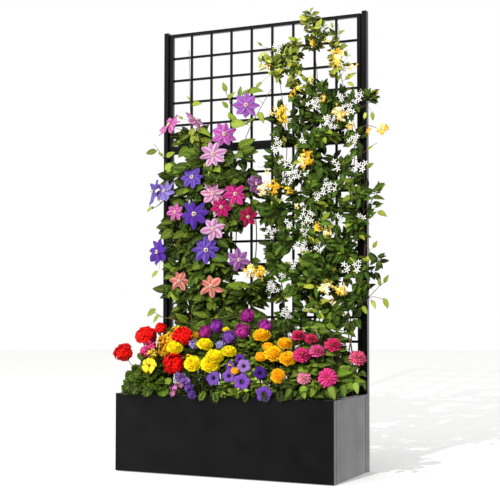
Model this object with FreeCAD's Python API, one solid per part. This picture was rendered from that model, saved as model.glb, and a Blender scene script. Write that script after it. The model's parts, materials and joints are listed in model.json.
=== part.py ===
import FreeCAD, Part
import math
import os

from FreeCAD import Vector

# Steel planter box with a trellis standing behind it. The front faces -Y and +X is to the right.
# The origin is on the floor, midway between the front face and the backs of the posts.

# Overall sizes
overall_width = 900.0
overall_depth = 400.0
box_height = 300.0

# Folded sheet of the box
sheet = 1.5
bend_radius = 2.0          # outside of a fold
panel_return = 22.0        # how far each wall's four edges fold back
flange_width = 18.0        # second fold of the front and back panels, met by the side panels
rim_lip = 11.0             # turned-down inner edge of the rim
floor_gap = 3.0            # walls stand this far off the floor
seal_thickness = 2.5       # rubber strip in each corner joint, seen as a groove
seal_recess = 2.0
seal_width = 5.0

# Floor of the box
runner_width = 30.0
runner_height = 24.0
runner_end_clearance = 0.5
runner_inset = 90.0        # outer runners' middles, in from the box's ends
pad_end_clearance = 1.0
floor_edge = 20.0          # turned-up edge of the floor tray
fit_clearance = 0.5
drain_radius = 6.0
drain_columns = 3
drain_rows = 2

# Centre tie between the rims
tie_width = 30.0
tie_thickness = 3.0
tie_tab = 11.0

# Posts, extruded with a slot that faces the trellis
post_width = 20.0
post_depth = 25.0
post_wall = 1.5
slot_width = 4.0
pocket_depth = 8.0
pocket_width = 8.0
post_rise = 2.5            # posts above the top rail
cap_height = 5.0
cap_chamfer = 1.0
foot_height = 3.0
plug_length = 8.0
plug_clearance = 0.25

# Grid panels
panel_names = ("lower", "middle", "upper")
frame_size = 14.0          # square tube of the stiles and rails
tube_wall = 1.5
slot_gap = 7.0             # stile to post, bridged by the stile's fin
fin_thickness = 3.0
fin_entry = 5.0            # how far the fin runs on behind the slot's lips
columns = 9
rows = 5
cell_height = 84.5
bar_width = 10.0
bar_thickness = 5.0
panel_lift = 2.0           # lowest panel above the rim
joiner_height = 7.0
joiner_depth = 10.0
crossbar_height = 20.0

# Fasteners
screw_radius = 2.0
head_flats = 7.0
head_height = 2.8
nut_height = 3.2
bolt_end = 1.8             # bolt past its nut
rivet_head_radius = 3.5
rivet_head_height = 1.2
hole_clearance = 0.25
tapped_end = 3.5           # self-tapping point past the last wall
corner_screw_count = 2
post_screw_count = 2
crossbar_screw_count = 2
fastener_margin = 45.0     # first and last of a row, in from the ends
fastener_side_count = 12   # small shanks and their holes are drawn with this many flats

# Soil and planting
soil_drop = 20.0           # edge of the soil below the rim
soil_crown = 9.0
soil_clearance = 0.6
plant_clearance = 0.3
stem_radius = 5.0
stem_side_count = 8
stem_places = (-330.0, -180.0, 160.0, 300.0, 380.0)
climber_rise = 40.0        # lowest leaves of the climbers above the rim
climber_swell = 90.0       # how far the climbers stand out in front of the trellis
climber_middle = 32.0      # where the two climbers meet
climber_parting = 50.0     # their feet stand this far from the middle

# Places worked out from the sizes
half_width = overall_width / 2
front_y = -overall_depth / 2
back_y = overall_depth / 2
box_back_y = back_y - post_depth
wall_top = box_height
trellis_y = back_y - post_depth / 2
slot_x = half_width - post_width
frame_half = slot_x - slot_gap
panel_opening = 2 * (frame_half - frame_size)
cell_width = (panel_opening - (columns - 1) * bar_width) / columns
panel_height = 2 * frame_size + rows * cell_height + (rows - 1) * bar_width
panel_step = panel_height + joiner_height
panels_bottom = box_height + panel_lift
panels_top = panels_bottom + len(panel_names) * panel_step - joiner_height
post_top = panels_top + post_rise
runner_bottom = floor_gap + sheet
floor_z = runner_bottom + runner_height
soil_edge_z = box_height - soil_drop
inner_half = half_width - panel_return - fit_clearance
inner_front = front_y + panel_return + fit_clearance
inner_back = box_back_y - panel_return - fit_clearance
pieces = {}


def block(x, y, z):
    """Box from three (low, high) pairs."""
    size = (x[1] - x[0], y[1] - y[0], z[1] - z[0])
    return Part.makeBox(*size, Vector(x[0], y[0], z[0]))


def rod(radius, start, end):
    way = end - start
    return Part.makeCylinder(radius, way.Length, start, way)


def prism(flats, width, start, end):
    """Bar of an even number of flats, with width as its size across opposite flats."""
    corner = width / 2 / math.cos(math.pi / flats)
    turns = [2 * math.pi * i / flats for i in range(flats + 1)]
    around = [Vector(corner * math.cos(t), corner * math.sin(t), 0) for t in turns]
    bar = Part.Face(Part.makePolygon(around)).extrude(Vector(0, 0, (end - start).Length))
    bar.Placement = FreeCAD.Placement(start, FreeCAD.Rotation(Vector(0, 0, 1), end - start))
    return bar


def mirrored(shape):
    """The same piece for the other end of the planter."""
    return shape.mirror(Vector(0, 0, 0), Vector(1, 0, 0))


def face_towards(shape, way):
    """The flat face of a block that lies furthest along a direction."""
    return max(shape.Faces, key=lambda face: face.CenterOfMass.dot(way))


def tray(x, y, z, opening):
    """Folded sheet tray, open on one side. Its folds show at the top and the ends."""
    solid = block(x, y, z)
    folds = [e for e in face_towards(solid, opening * -1).Edges if e.CenterOfMass.z > z[0]]
    if opening.z == 0:
        solid = solid.makeFillet(bend_radius, folds)
    return solid.makeThickness([face_towards(solid, opening)], -sheet, 0.001)


def spread(low, high, count):
    """Evenly spaced places from low to high."""
    if count == 1:
        return [(low + high) / 2]
    return [low + i * (high - low) / (count - 1) for i in range(count)]


def screw(seat, way, length):
    """Hexagon-headed screw: the head sits at seat and the shank runs along way."""
    head = prism(6, head_flats, seat - way * head_height, seat)
    shank = prism(fastener_side_count, 2 * screw_radius, seat, seat + way * length)
    return head.fuse(shank).removeSplitter()


def nut(seat, way):
    """Hexagon nut whose face sits at seat."""
    far = seat + way * nut_height
    return prism(6, head_flats, seat, far).cut(prism(fastener_side_count, 2 * screw_radius, seat, far))


def rivet(seat, way, length):
    """Blind rivet: its flat head sits at seat and its body runs along way."""
    head = prism(fastener_side_count, 2 * rivet_head_radius, seat - way * rivet_head_height, seat)
    body = prism(fastener_side_count, 2 * screw_radius, seat, seat + way * length)
    return head.fuse(body).removeSplitter()


def rounded_section(x, y, radius):
    """Rectangle with rounded corners, as a face in the XY plane."""
    solid = block(x, y, (0, 1))
    upright = [e for e in solid.Edges if abs(e.tangentAt(e.FirstParameter).z) > 0.9]
    solid = solid.makeFillet(radius, upright)
    face = face_towards(solid, Vector(0, 0, -1))
    return Part.Face(face.OuterWire)


def rectangle(x, y):
    """Rectangle as a face in the XY plane."""
    points = [Vector(x[i], y[j], 0) for i, j in ((0, 0), (1, 0), (1, 1), (0, 1), (0, 0))]
    return Part.Face(Part.makePolygon(points))


def drill(shape, places, way, depth, radius):
    """Fastener holes through a wall, at each place along way."""
    for place in places:
        shape = shape.cut(prism(fastener_side_count, 2 * radius, place - way * depth, place + way * depth))
    return shape


# Box walls

corner_x = half_width - sheet - seal_width - head_flats
corner_zs = spread(floor_gap + fastener_margin, wall_top - fastener_margin, corner_screw_count)
post_screw_x = slot_x + post_wall + pocket_depth / 2
tie_z = wall_top - sheet - fit_clearance - tie_tab / 2
crossbar_z = panels_bottom - crossbar_height / 2
crossbar_xs = spread(-half_width + runner_inset, half_width - runner_inset, crossbar_screw_count)
runner_xs = {"left": -half_width + runner_inset, "centre": 0.0, "right": half_width - runner_inset}
post_screw_zs = spread(floor_gap + fastener_margin, wall_top - fastener_margin - crossbar_height,
                       post_screw_count)
clear_radius = screw_radius + hole_clearance
tapped_radius = screw_radius + 0.05


def long_panel(outer_y, inner_y):
    """Front or back wall: a tray with second folds at its ends and a turned-down rim."""
    inward = 1 if inner_y > outer_y else -1
    y = tuple(sorted((outer_y, inner_y)))
    panel = tray((-half_width, half_width), y, (floor_gap, wall_top), Vector(0, inward, 0))
    fold_y = tuple(sorted((inner_y, inner_y - inward * sheet)))
    for side in (-1, 1):
        edge = side * (half_width - sheet / 2)
        tip = side * (half_width - sheet - flange_width)
        fold = block(sorted((edge, tip)), fold_y, (floor_gap + sheet / 2, wall_top - sheet / 2))
        panel = panel.fuse(fold)
    lip_x = half_width - sheet - flange_width
    lip = block((-lip_x, lip_x), fold_y, (wall_top - sheet - rim_lip, wall_top - sheet / 2))
    panel = panel.fuse(lip).removeSplitter()
    along = Vector(0, 1, 0)
    corners = [Vector(s * corner_x, inner_y, z) for s in (-1, 1) for z in corner_zs]
    panel = drill(panel, corners, along, 2 * sheet, clear_radius)
    panel = drill(panel, [Vector(0, inner_y, tie_z)], along, 2 * sheet, tapped_radius)
    rivets = [Vector(x, (outer_y + inner_y) / 2, floor_gap) for x in runner_xs.values()]
    return drill(panel, rivets, Vector(0, 0, 1), 2 * sheet, clear_radius)


front_inner = front_y + panel_return
back_inner = box_back_y - panel_return
pieces["front_panel"] = long_panel(front_y, front_inner)
back_panel = long_panel(box_back_y, back_inner)
post_screw_seats = [Vector(s * post_screw_x, box_back_y - sheet, z)
                    for s in (-1, 1) for z in post_screw_zs]
crossbar_seats = [Vector(x, box_back_y - sheet, crossbar_z - panel_lift) for x in crossbar_xs]
back_panel = drill(back_panel, post_screw_seats + crossbar_seats, Vector(0, 1, 0), 2 * sheet,
                   clear_radius)
pieces["back_panel"] = back_panel

side_front = front_inner + seal_thickness
side_back = back_inner - seal_thickness


def side_panel():
    """Right-hand wall, between the second folds of the front and back panels."""
    x = (half_width - panel_return, half_width)
    panel = tray(x, (side_front, side_back), (floor_gap, wall_top), Vector(-1, 0, 0))
    lip_y = (side_front + sheet / 2, side_back - sheet / 2)
    lip_z = (wall_top - sheet - rim_lip, wall_top - sheet / 2)
    panel = panel.fuse(block((x[0], x[0] + sheet), lip_y, lip_z)).removeSplitter()
    holes = [Vector(corner_x, y, z) for y in (side_front, side_back) for z in corner_zs]
    return drill(panel, holes, Vector(0, 1, 0), 2 * sheet, clear_radius)


pieces["right_side_panel"] = side_panel()
pieces["left_side_panel"] = mirrored(pieces["right_side_panel"])


def corner_seal(y):
    """Rubber strip between a second fold and a side panel, set back to leave a groove."""
    x = (half_width - seal_recess - seal_width, half_width - seal_recess)
    return block(x, y, (floor_gap, wall_top - seal_recess / 2))


for name, y in (("front", (front_inner, side_front)), ("back", (side_back, back_inner))):
    pieces["right_" + name + "_corner_seal"] = corner_seal(y)
    pieces["left_" + name + "_corner_seal"] = mirrored(corner_seal(y))

corner_length = 2 * sheet + seal_thickness + nut_height + bolt_end
corner_bolts = []
corner_nuts = []
for seat_y, nut_y, inward in ((front_inner - sheet, side_front + sheet, 1),
                              (back_inner + sheet, side_back - sheet, -1)):
    for x in (-corner_x, corner_x):
        for z in corner_zs:
            way = Vector(0, inward, 0)
            corner_bolts.append(screw(Vector(x, seat_y, z), way, corner_length))
            corner_nuts.append(nut(Vector(x, nut_y, z), way))
pieces["corner_screws"] = Part.makeCompound(corner_bolts)
pieces["corner_nuts"] = Part.makeCompound(corner_nuts)

# Floor

runner_y = (front_y + sheet + runner_end_clearance, box_back_y - sheet - runner_end_clearance)
runner_z = (runner_bottom, runner_bottom + runner_height)
rivet_ys = (front_y + panel_return / 2, box_back_y - panel_return / 2)
pads = []
rivets = []
for name, x in runner_xs.items():
    span = (x - runner_width / 2, x + runner_width / 2)
    bore = (span[0] + sheet, span[1] - sheet)
    tube = block(span, runner_y, runner_z)
    tube = tube.cut(block(bore, runner_y, (runner_z[0] + sheet, runner_z[1] - sheet)))
    seats = [Vector(x, y, floor_gap) for y in rivet_ys]
    pieces[name + "_runner"] = drill(tube, seats, Vector(0, 0, 1), 3 * sheet, clear_radius)
    rivets += [rivet(seat, Vector(0, 0, 1), 3 * sheet) for seat in seats]
    pad_y = (front_inner + pad_end_clearance, back_inner - pad_end_clearance)
    pads.append(block(span, pad_y, (0, runner_bottom)))
pieces["runner_pads"] = Part.makeCompound(pads)
pieces["runner_rivets"] = Part.makeCompound(rivets)

floor_tray = tray((-inner_half, inner_half), (inner_front, inner_back),
                  (floor_z, floor_z + floor_edge), Vector(0, 0, 1))
drain_xs = spread(-inner_half + fastener_margin, inner_half - fastener_margin, drain_columns)
drain_ys = spread(inner_front + 2 * fastener_margin, inner_back - 2 * fastener_margin, drain_rows)
drains = [Vector(x, y, floor_z - sheet / 2) for x in drain_xs for y in drain_ys]
for place in drains:
    floor_tray = floor_tray.cut(rod(drain_radius, place, place + Vector(0, 0, 2 * sheet)))
pieces["floor_tray"] = floor_tray

# Centre tie, a strip with its ends turned up against the rims' lips

tie_y = (front_inner, back_inner)
tie_low = tie_z - tie_tab / 2 - tie_thickness
tie = block((-tie_width / 2, tie_width / 2), tie_y, (tie_low, tie_z + tie_tab / 2))
between = (tie_y[0] + tie_thickness, tie_y[1] - tie_thickness)
tie = tie.cut(block((-tie_width / 2, tie_width / 2), between,
                    (tie_low + tie_thickness, tie_z + tie_tab / 2)))
tie_corners = [e for e in tie.Edges
               if abs(e.tangentAt(e.FirstParameter).x) > 0.9
               and abs(e.CenterOfMass.z - tie_low) < 0.01]
tie = tie.makeFillet(bend_radius, tie_corners)
tie_ends = [Vector(0, y, tie_z) for y in tie_y]
pieces["centre_tie"] = drill(tie, tie_ends, Vector(0, 1, 0), 2 * tie_thickness, clear_radius)
tie_length = tie_thickness + sheet + tapped_end
pieces["tie_screws"] = Part.makeCompound([
    screw(Vector(0, between[0], tie_z), Vector(0, -1, 0), tie_length),
    screw(Vector(0, between[1], tie_z), Vector(0, 1, 0), tie_length),
])

# Posts

post_x = (slot_x, half_width)
post_y = (box_back_y, back_y)
chamber_x = (slot_x + 2 * post_wall + pocket_depth, half_width - post_wall)
chamber_y = (post_y[0] + post_wall, post_y[1] - post_wall)
pocket_x = (slot_x + post_wall, slot_x + post_wall + pocket_depth)
pocket_y = (trellis_y - pocket_width / 2, trellis_y + pocket_width / 2)


def post_section():
    """Right post in plan: a slotted pocket for the fins, with hollow chambers round it."""
    section = rounded_section(post_x, post_y, bend_radius)
    slot_y = (trellis_y - slot_width / 2, trellis_y + slot_width / 2)
    section = section.cut(rectangle((slot_x - 1, pocket_x[0]), slot_y))
    section = section.cut(rectangle(pocket_x, pocket_y))
    section = section.cut(rectangle(chamber_x, chamber_y))
    section = section.cut(rectangle(pocket_x, (chamber_y[0], pocket_y[0] - post_wall)))
    return section.cut(rectangle(pocket_x, (pocket_y[1] + post_wall, chamber_y[1])))


right_post = post_section().extrude(Vector(0, 0, post_top - foot_height))
right_post.translate(Vector(0, 0, foot_height))
right_holes = [v for v in post_screw_seats if v.x > 0]
right_post = drill(right_post, [v + Vector(0, sheet, 0) for v in right_holes], Vector(0, 1, 0),
                   2 * post_wall, tapped_radius)


def end_piece(z, plug_z):
    """Cap or foot of the right post, with a plug in the post's outer chamber."""
    plate = rounded_section(post_x, post_y, bend_radius).extrude(Vector(0, 0, z[1] - z[0]))
    plate.translate(Vector(0, 0, z[0]))
    plug_x = (chamber_x[0] + plug_clearance, chamber_x[1] - plug_clearance)
    plug_y = (chamber_y[0] + plug_clearance, chamber_y[1] - plug_clearance)
    return plate.fuse(block(plug_x, plug_y, plug_z)).removeSplitter()


cap_z = (post_top, post_top + cap_height)
pieces["right_post"] = right_post
right_cap = end_piece(cap_z, (post_top - plug_length, post_top))
cap_edges = [e for e in right_cap.Edges if abs(e.CenterOfMass.z - cap_z[1]) < 0.01]
pieces["right_post_cap"] = right_cap.makeChamfer(cap_chamfer, cap_edges)
pieces["right_post_foot"] = end_piece((0, foot_height), (foot_height, foot_height + plug_length))
for name in ("post", "post_cap", "post_foot"):
    pieces["left_" + name] = mirrored(pieces["right_" + name])
pieces["post_screws"] = Part.makeCompound([
    screw(v, Vector(0, 1, 0), sheet + post_wall + tapped_end) for v in post_screw_seats
])

# Fins and tubes of the trellis

fin_tip = slot_x + post_wall + fin_entry
fin_y = (trellis_y - fin_thickness / 2, trellis_y + fin_thickness / 2)
frame_y = (trellis_y - frame_size / 2, trellis_y + frame_size / 2)
frame_bore_y = (frame_y[0] + tube_wall, frame_y[1] - tube_wall)
rail_x = (-frame_half + frame_size, frame_half - frame_size)


def stile(z):
    """Right stile: a square tube with a fin that runs in the post's slot."""
    x = (frame_half - frame_size, frame_half)
    tube = block(x, frame_y, z)
    tube = tube.cut(block((x[0] + tube_wall, x[1] - tube_wall), frame_bore_y, z))
    return tube.fuse(block((x[1] - tube_wall / 2, fin_tip), fin_y, z)).removeSplitter()


def rail(z):
    tube = block(rail_x, frame_y, z)
    return tube.cut(block(rail_x, frame_bore_y, (z[0] + tube_wall, z[1] - tube_wall)))


for level, name in enumerate(panel_names):
    low = panels_bottom + level * panel_step
    high = low + panel_height
    inside = (low + frame_size, high - frame_size)
    pieces[name + "_panel_right_stile"] = stile((low, high))
    pieces[name + "_panel_left_stile"] = mirrored(stile((low, high)))
    pieces[name + "_panel_bottom_rail"] = rail((low, inside[0]))
    pieces[name + "_panel_top_rail"] = rail((inside[1], high))
    upright_bars = []
    for i in range(1, columns):
        x = rail_x[0] + i * cell_width + (i - 1) * bar_width
        upright_bars.append(block((x, x + bar_width), (trellis_y - bar_thickness, trellis_y), inside))
    level_bars = []
    for i in range(1, rows):
        z = inside[0] + i * cell_height + (i - 1) * bar_width
        level_bars.append(block(rail_x, (trellis_y, trellis_y + bar_thickness), (z, z + bar_width)))
    pieces[name + "_panel_upright_bars"] = Part.makeCompound(upright_bars)
    pieces[name + "_panel_level_bars"] = Part.makeCompound(level_bars)
    if level:
        joiner_z = (low - joiner_height, low)
        joiner = block((-frame_half, frame_half),
                       (trellis_y - joiner_depth / 2, trellis_y + joiner_depth / 2), joiner_z)
        joiner = joiner.fuse(block((-fin_tip, fin_tip), fin_y, joiner_z)).removeSplitter()
        pieces[panel_names[level - 1] + "_joiner_bar"] = joiner

crossbar_z_span = (panels_bottom - crossbar_height, panels_bottom)
crossbar_y = (box_back_y, frame_y[1])
crossbar = block((-frame_half, frame_half), crossbar_y, crossbar_z_span)
crossbar = crossbar.cut(block((-frame_half, frame_half),
                              (crossbar_y[0] + tube_wall, crossbar_y[1] - tube_wall),
                              (crossbar_z_span[0] + tube_wall, crossbar_z_span[1] - tube_wall)))
for s in (-1, 1):
    fin_x = sorted((s * (frame_half - frame_size), s * fin_tip))
    crossbar = crossbar.fuse(block(fin_x, fin_y, crossbar_z_span))
crossbar = crossbar.removeSplitter()
pieces["crossbar"] = drill(crossbar, [v + Vector(0, sheet, 0) for v in crossbar_seats],
                           Vector(0, 1, 0), 2 * tube_wall, tapped_radius)
pieces["crossbar_screws"] = Part.makeCompound([
    screw(v, Vector(0, 1, 0), sheet + tube_wall + tapped_end) for v in crossbar_seats
])

# Soil

soil_x = inner_half - sheet - soil_clearance
soil_y = (inner_front + sheet + soil_clearance, inner_back - sheet - soil_clearance)
soil = block((-soil_x, soil_x), soil_y, (floor_z + sheet, soil_edge_z))
crown = block((-soil_x, soil_x), soil_y, (soil_edge_z, soil_edge_z + soil_crown))
crown_top = [e for e in crown.Edges if abs(e.CenterOfMass.z - soil_edge_z - soil_crown) < 0.01]
crown = crown.makeChamfer(soil_crown * 0.9, crown_top)
soil = soil.fuse(crown).removeSplitter()
tie_room = block((-tie_width / 2 - soil_clearance, tie_width / 2 + soil_clearance),
                 (soil_y[0] - 1, soil_y[1] + 1), (tie_low - soil_clearance, wall_top))
pieces["soil"] = soil.cut(tie_room)
soil_top = soil_edge_z + soil_crown

# Planting, as plain masses that fill the plants' outlines


def closed_mass(rings):
    """Closed mass through like-shaped rings of points, with flat sides."""
    faces = [Part.Face(Part.makePolygon(ring + [ring[0]])) for ring in (rings[0], rings[-1])]
    for low, high in zip(rings, rings[1:]):
        for i, corner in enumerate(low):
            side = [low[i - 1], corner, high[i], high[i - 1], low[i - 1]]
            faces.append(Part.Face(Part.makePolygon(side)))
    solid = Part.makeSolid(Part.makeShell(faces))
    if solid.Volume < 0:
        solid.reverse()
    return solid


def hanging(outline, levels):
    """Climber: one outline in XZ, scaled about its middle at each (place along Y, scale)."""
    middle = [sum(p[i] for p in outline) / len(outline) for i in (0, 1)]
    return closed_mass([
        [Vector(middle[0] + scale * (x - middle[0]), y, middle[1] + scale * (z - middle[1]))
         for x, z in outline]
        for y, scale in levels
    ])


def standing(x, y, height):
    """Bedding plants: an eight-sided mound that comes up inside the rim and opens over it."""
    foot_x = (max(x[0], -opening_x), min(x[1], opening_x))
    foot_y = (max(y[0], opening_y[0]), min(y[1], opening_y[1]))
    foot = min((foot_x[1] - foot_x[0]) / (x[1] - x[0]), (foot_y[1] - foot_y[0]) / (y[1] - y[0]))
    rim = box_height + plant_clearance
    levels = (
        (foot_x, foot_y, soil_top + plant_clearance, foot * 0.7),
        (foot_x, foot_y, rim, foot * 0.9),
        (x, y, rim + height * 0.35, 1.0),
        (x, y, rim + height * 0.75, 0.85),
        (x, y, rim + height, 0.45),
    )
    reach = [(span[1] - span[0]) / 2 / math.cos(math.radians(22.5)) for span in (x, y)]
    turns = [math.radians(a + 22.5) for a in range(0, 360, 45)]
    return closed_mass([
        [Vector(sum(middle_x) / 2 + scale * reach[0] * math.cos(t),
                sum(middle_y) / 2 + scale * reach[1] * math.sin(t), z) for t in turns]
        for middle_x, middle_y, z, scale in levels
    ])


opening_x = half_width - panel_return - plant_clearance
opening_y = (front_inner + plant_clearance, back_inner - plant_clearance)
climber_back = box_back_y - plant_clearance
climber_foot = box_height + climber_rise
climber_levels = [(climber_back - share * climber_swell, scale) for share, scale in
                  ((1.0, 0.4), (0.86, 0.84), (0.44, 1.0), (0.16, 0.95), (0.0, 0.8))]
climber_ridge = climber_levels[2][0]
clematis_outline = (
    (climber_middle - climber_parting, climber_foot), (climber_middle, 900), (climber_middle, 1290),
    (-20, 1440), (-150, 1500), (-290, 1450), (-450, 1370), (-530, 1160), (-515, 830), (-450, 560),
    (-410, climber_foot),
)
honeysuckle_outline = (
    (climber_middle + climber_parting, climber_foot), (460, climber_foot), (525, 620), (510, 900),
    (535, 1120), (500, 1380), (430, 1560), (370, 1740), (260, 1790), (100, 1690),
    (climber_middle + 5, 1560), (climber_middle + climber_parting, 1400), (climber_middle + 5, 1200),
    (climber_middle + 5, 900),
)
pieces["clematis"] = hanging(clematis_outline, climber_levels)
pieces["honeysuckle_and_jasmine"] = hanging(honeysuckle_outline, climber_levels)

pieces["climber_stems"] = Part.makeCompound([
    prism(stem_side_count, 2 * stem_radius, Vector(x, climber_ridge, soil_top),
          Vector(x, climber_ridge, climber_foot)) for x in stem_places
])

bedding = {
    # reach along X, reach along Y, height above the rim
    "geraniums": ((-530, -212), (-215, 48), 270),
    "yellow_marigolds": ((-208, -22), (-190, -12), 215),
    "phlox": ((-208, 110), (-8, 50), 330),
    "petunias": ((-18, 236), (-232, -92), 150),
    "orange_marigolds": ((-18, 236), (-88, -12), 240),
    "zinnias": ((240, 555), (-205, 50), 260),
}
for name, (x, y, height) in bedding.items():
    pieces[name] = standing(x, y, height)

os.makedirs("parts", exist_ok=True)
for name, shape in pieces.items():
    shape.exportStep("parts/" + name + ".step")
print(len(pieces), "nodes")
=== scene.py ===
import json
import math
import random

import bmesh
import bpy
from mathutils import Matrix, Vector

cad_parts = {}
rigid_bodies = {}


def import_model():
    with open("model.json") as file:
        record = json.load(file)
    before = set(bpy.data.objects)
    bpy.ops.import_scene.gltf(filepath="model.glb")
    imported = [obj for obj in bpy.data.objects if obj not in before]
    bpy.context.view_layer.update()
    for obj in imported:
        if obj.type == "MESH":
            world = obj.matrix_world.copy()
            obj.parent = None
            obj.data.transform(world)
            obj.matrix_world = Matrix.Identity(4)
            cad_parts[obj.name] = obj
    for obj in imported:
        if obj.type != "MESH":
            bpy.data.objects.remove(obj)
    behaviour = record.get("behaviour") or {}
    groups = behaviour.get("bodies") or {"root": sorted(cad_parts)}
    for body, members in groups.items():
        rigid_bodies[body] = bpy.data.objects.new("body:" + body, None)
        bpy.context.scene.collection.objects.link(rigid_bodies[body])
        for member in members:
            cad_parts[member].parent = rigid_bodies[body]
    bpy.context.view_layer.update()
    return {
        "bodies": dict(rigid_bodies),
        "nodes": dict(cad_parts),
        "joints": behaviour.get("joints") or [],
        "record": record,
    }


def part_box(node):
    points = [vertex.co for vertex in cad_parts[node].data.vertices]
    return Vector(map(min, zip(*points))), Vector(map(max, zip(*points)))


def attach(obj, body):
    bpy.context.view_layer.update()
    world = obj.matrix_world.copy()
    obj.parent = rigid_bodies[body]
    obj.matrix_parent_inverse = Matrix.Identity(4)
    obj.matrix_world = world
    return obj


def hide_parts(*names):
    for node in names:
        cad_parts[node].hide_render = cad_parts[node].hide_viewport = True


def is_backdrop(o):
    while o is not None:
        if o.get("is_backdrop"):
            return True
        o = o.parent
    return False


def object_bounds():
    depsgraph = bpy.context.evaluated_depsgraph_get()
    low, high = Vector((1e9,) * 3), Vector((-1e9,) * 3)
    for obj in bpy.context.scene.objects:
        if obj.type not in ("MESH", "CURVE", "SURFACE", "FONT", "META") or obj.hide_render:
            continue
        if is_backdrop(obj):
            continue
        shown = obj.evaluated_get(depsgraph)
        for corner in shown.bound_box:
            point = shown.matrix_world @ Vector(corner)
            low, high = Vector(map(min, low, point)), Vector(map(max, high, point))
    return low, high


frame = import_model()
random.seed(23)
millimetre = 0.001
goldenAngle = 2.39996  # radians, by which leaves and petals turn round their stem
white = (1, 1, 1, 1)

# The eye of the picture: place in metres, turns in radians, focal length and the lens's rise in
# picture pixels
eye = {"place": (1.8225, -3.9292, 0.6171), "pan": 0.4277, "tilt": 0.0435, "roll": 0.0013,
       "focal": 1112.5, "rise": 13.0, "pictureSize": 500}
eyePlace = Vector(eye["place"])
eyeTurn = (Matrix.Rotation(eye["pan"], 3, "Z") @ Matrix.Rotation(math.pi / 2 + eye["tilt"], 3, "X")
           @ Matrix.Rotation(eye["roll"], 3, "Z"))

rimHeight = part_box("front_panel")[1].z
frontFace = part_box("front_panel")[0].y
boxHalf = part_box("front_panel")[1].x
soilLow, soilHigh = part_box("soil")
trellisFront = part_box("lower_panel_upright_bars")[0].y


def sightLine(u, v):  # direction in which a picture point is seen
    middle = eye["pictureSize"] / 2
    return eyeTurn @ Vector(((u - middle) / eye["focal"], (middle + eye["rise"] - v) / eye["focal"], -1))


def toPicture(point):  # where a point is seen, and how far away it is
    seen = eyeTurn.transposed() @ (point - eyePlace)
    middle, scale = eye["pictureSize"] / 2, eye["focal"] / -seen.z
    return middle + scale * seen.x, middle + eye["rise"] - scale * seen.y, -seen.z


def fromPicture(u, v, depth):  # the point seen at (u, v) that lies at y = depth
    way = sightLine(u, v)
    return eyePlace + way * ((depth - eyePlace.y) / way.y)


def pixelAt(point):  # metres that one picture pixel covers there
    return (point - eyePlace).length / eye["focal"]


def facing(point, turn, lift):  # towards the eye, then turned to the right and raised, in degrees
    way = eyePlace - point
    way.z = 0
    way.normalize()
    way.rotate(Matrix.Rotation(math.radians(turn), 3, "Z"))
    up = math.radians(lift)
    return (way * math.cos(up) + Vector((0, 0, math.sin(up)))).normalized()


def wobble(size):
    return Vector([random.uniform(-size, size) for _ in range(3)])


# Colours and materials

def paint(code):  # sRGB hex to linear
    values = [int(code[i:i + 2], 16) / 255 for i in (1, 3, 5)]
    return tuple(c / 12.92 if c <= 0.04045 else ((c + 0.055) / 1.055) ** 2.4 for c in values) + (1,)


def tinted(colour, light, warm=0.0):  # the same colour lighter or darker, and warmer or cooler
    return (colour[0] * light * (1 + warm), colour[1] * light, colour[2] * light * (1 - warm), 1)


def setInputs(tree, node, inputs):  # socket: a value, or the node or socket that it comes from
    for socket, value in inputs.items():
        if isinstance(value, bpy.types.Node):
            value = value.outputs[0]
        if isinstance(value, bpy.types.NodeSocket):
            tree.links.new(value, node.inputs[socket])
        else:
            node.inputs[socket].default_value = value


def addNode(tree, kind, inputs, **settings):
    node = tree.nodes.new(kind)
    for name, value in settings.items():
        setattr(node, name, value)
    setInputs(tree, node, inputs)
    return node


def startMaterial(name):
    material = bpy.data.materials.new(name)
    material.use_nodes = True
    tree = material.node_tree
    return material, tree, tree.nodes["Principled BSDF"]


def objectNoise(tree, millimetres, detail=3.0):  # cloudy pattern fixed to the object
    place = addNode(tree, "ShaderNodeTexCoord", {})
    return addNode(tree, "ShaderNodeTexNoise",
                   {"Vector": place.outputs["Object"], "Scale": 1 / (millimetres * millimetre),
                    "Detail": detail})


def powderCoat():
    # Satin polyester powder coat on steel and aluminium: black, with a fine orange-peel skin
    # that softens reflections, and clear only at a slant
    material, tree, shader = startMaterial("blackPowderCoat")
    patches = objectNoise(tree, 90)
    black = addNode(tree, "ShaderNodeMix", {0: patches, 6: paint("#040405"), 7: paint("#070708")},
                    data_type="RGBA")
    gloss = addNode(tree, "ShaderNodeMapRange", {0: patches, 1: 0.3, 2: 0.7, 3: 0.34, 4: 0.42})
    peel = addNode(tree, "ShaderNodeBump",
                   {"Height": objectNoise(tree, 1.6), "Distance": 0.05 * millimetre, "Strength": 1})
    setInputs(tree, shader, {"Base Color": black.outputs[2], "IOR": 1.5, "Roughness": gloss,
                             "Normal": peel})
    return material


def mouldedBlack(name, colour, roughness, grain):
    # Moulded nylon or rubber: black, with a matt skin that has a fine grain
    material, tree, shader = startMaterial(name)
    skin = objectNoise(tree, grain)
    black = addNode(tree, "ShaderNodeMix", {0: skin, 6: paint(colour), 7: paint("#202022")},
                    data_type="RGBA")
    bump = addNode(tree, "ShaderNodeBump",
                   {"Height": skin, "Distance": 0.06 * millimetre, "Strength": 1})
    setInputs(tree, shader, {"Base Color": black.outputs[2], "Roughness": roughness, "Normal": bump})
    return material


def zincPlate():
    # Zinc-plated steel: bright blue-grey with cloudy passivation
    material, tree, shader = startMaterial("zincPlatedSteel")
    cloud = objectNoise(tree, 5)
    grey = addNode(tree, "ShaderNodeMix", {0: cloud, 6: paint("#A3A8AD"), 7: paint("#C4C7C9")},
                   data_type="RGBA")
    gloss = addNode(tree, "ShaderNodeMapRange", {0: cloud, 1: 0.3, 2: 0.7, 3: 0.3, 4: 0.45})
    setInputs(tree, shader, {"Base Color": grey.outputs[2], "Metallic": 1, "Roughness": gloss})
    return material


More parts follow.
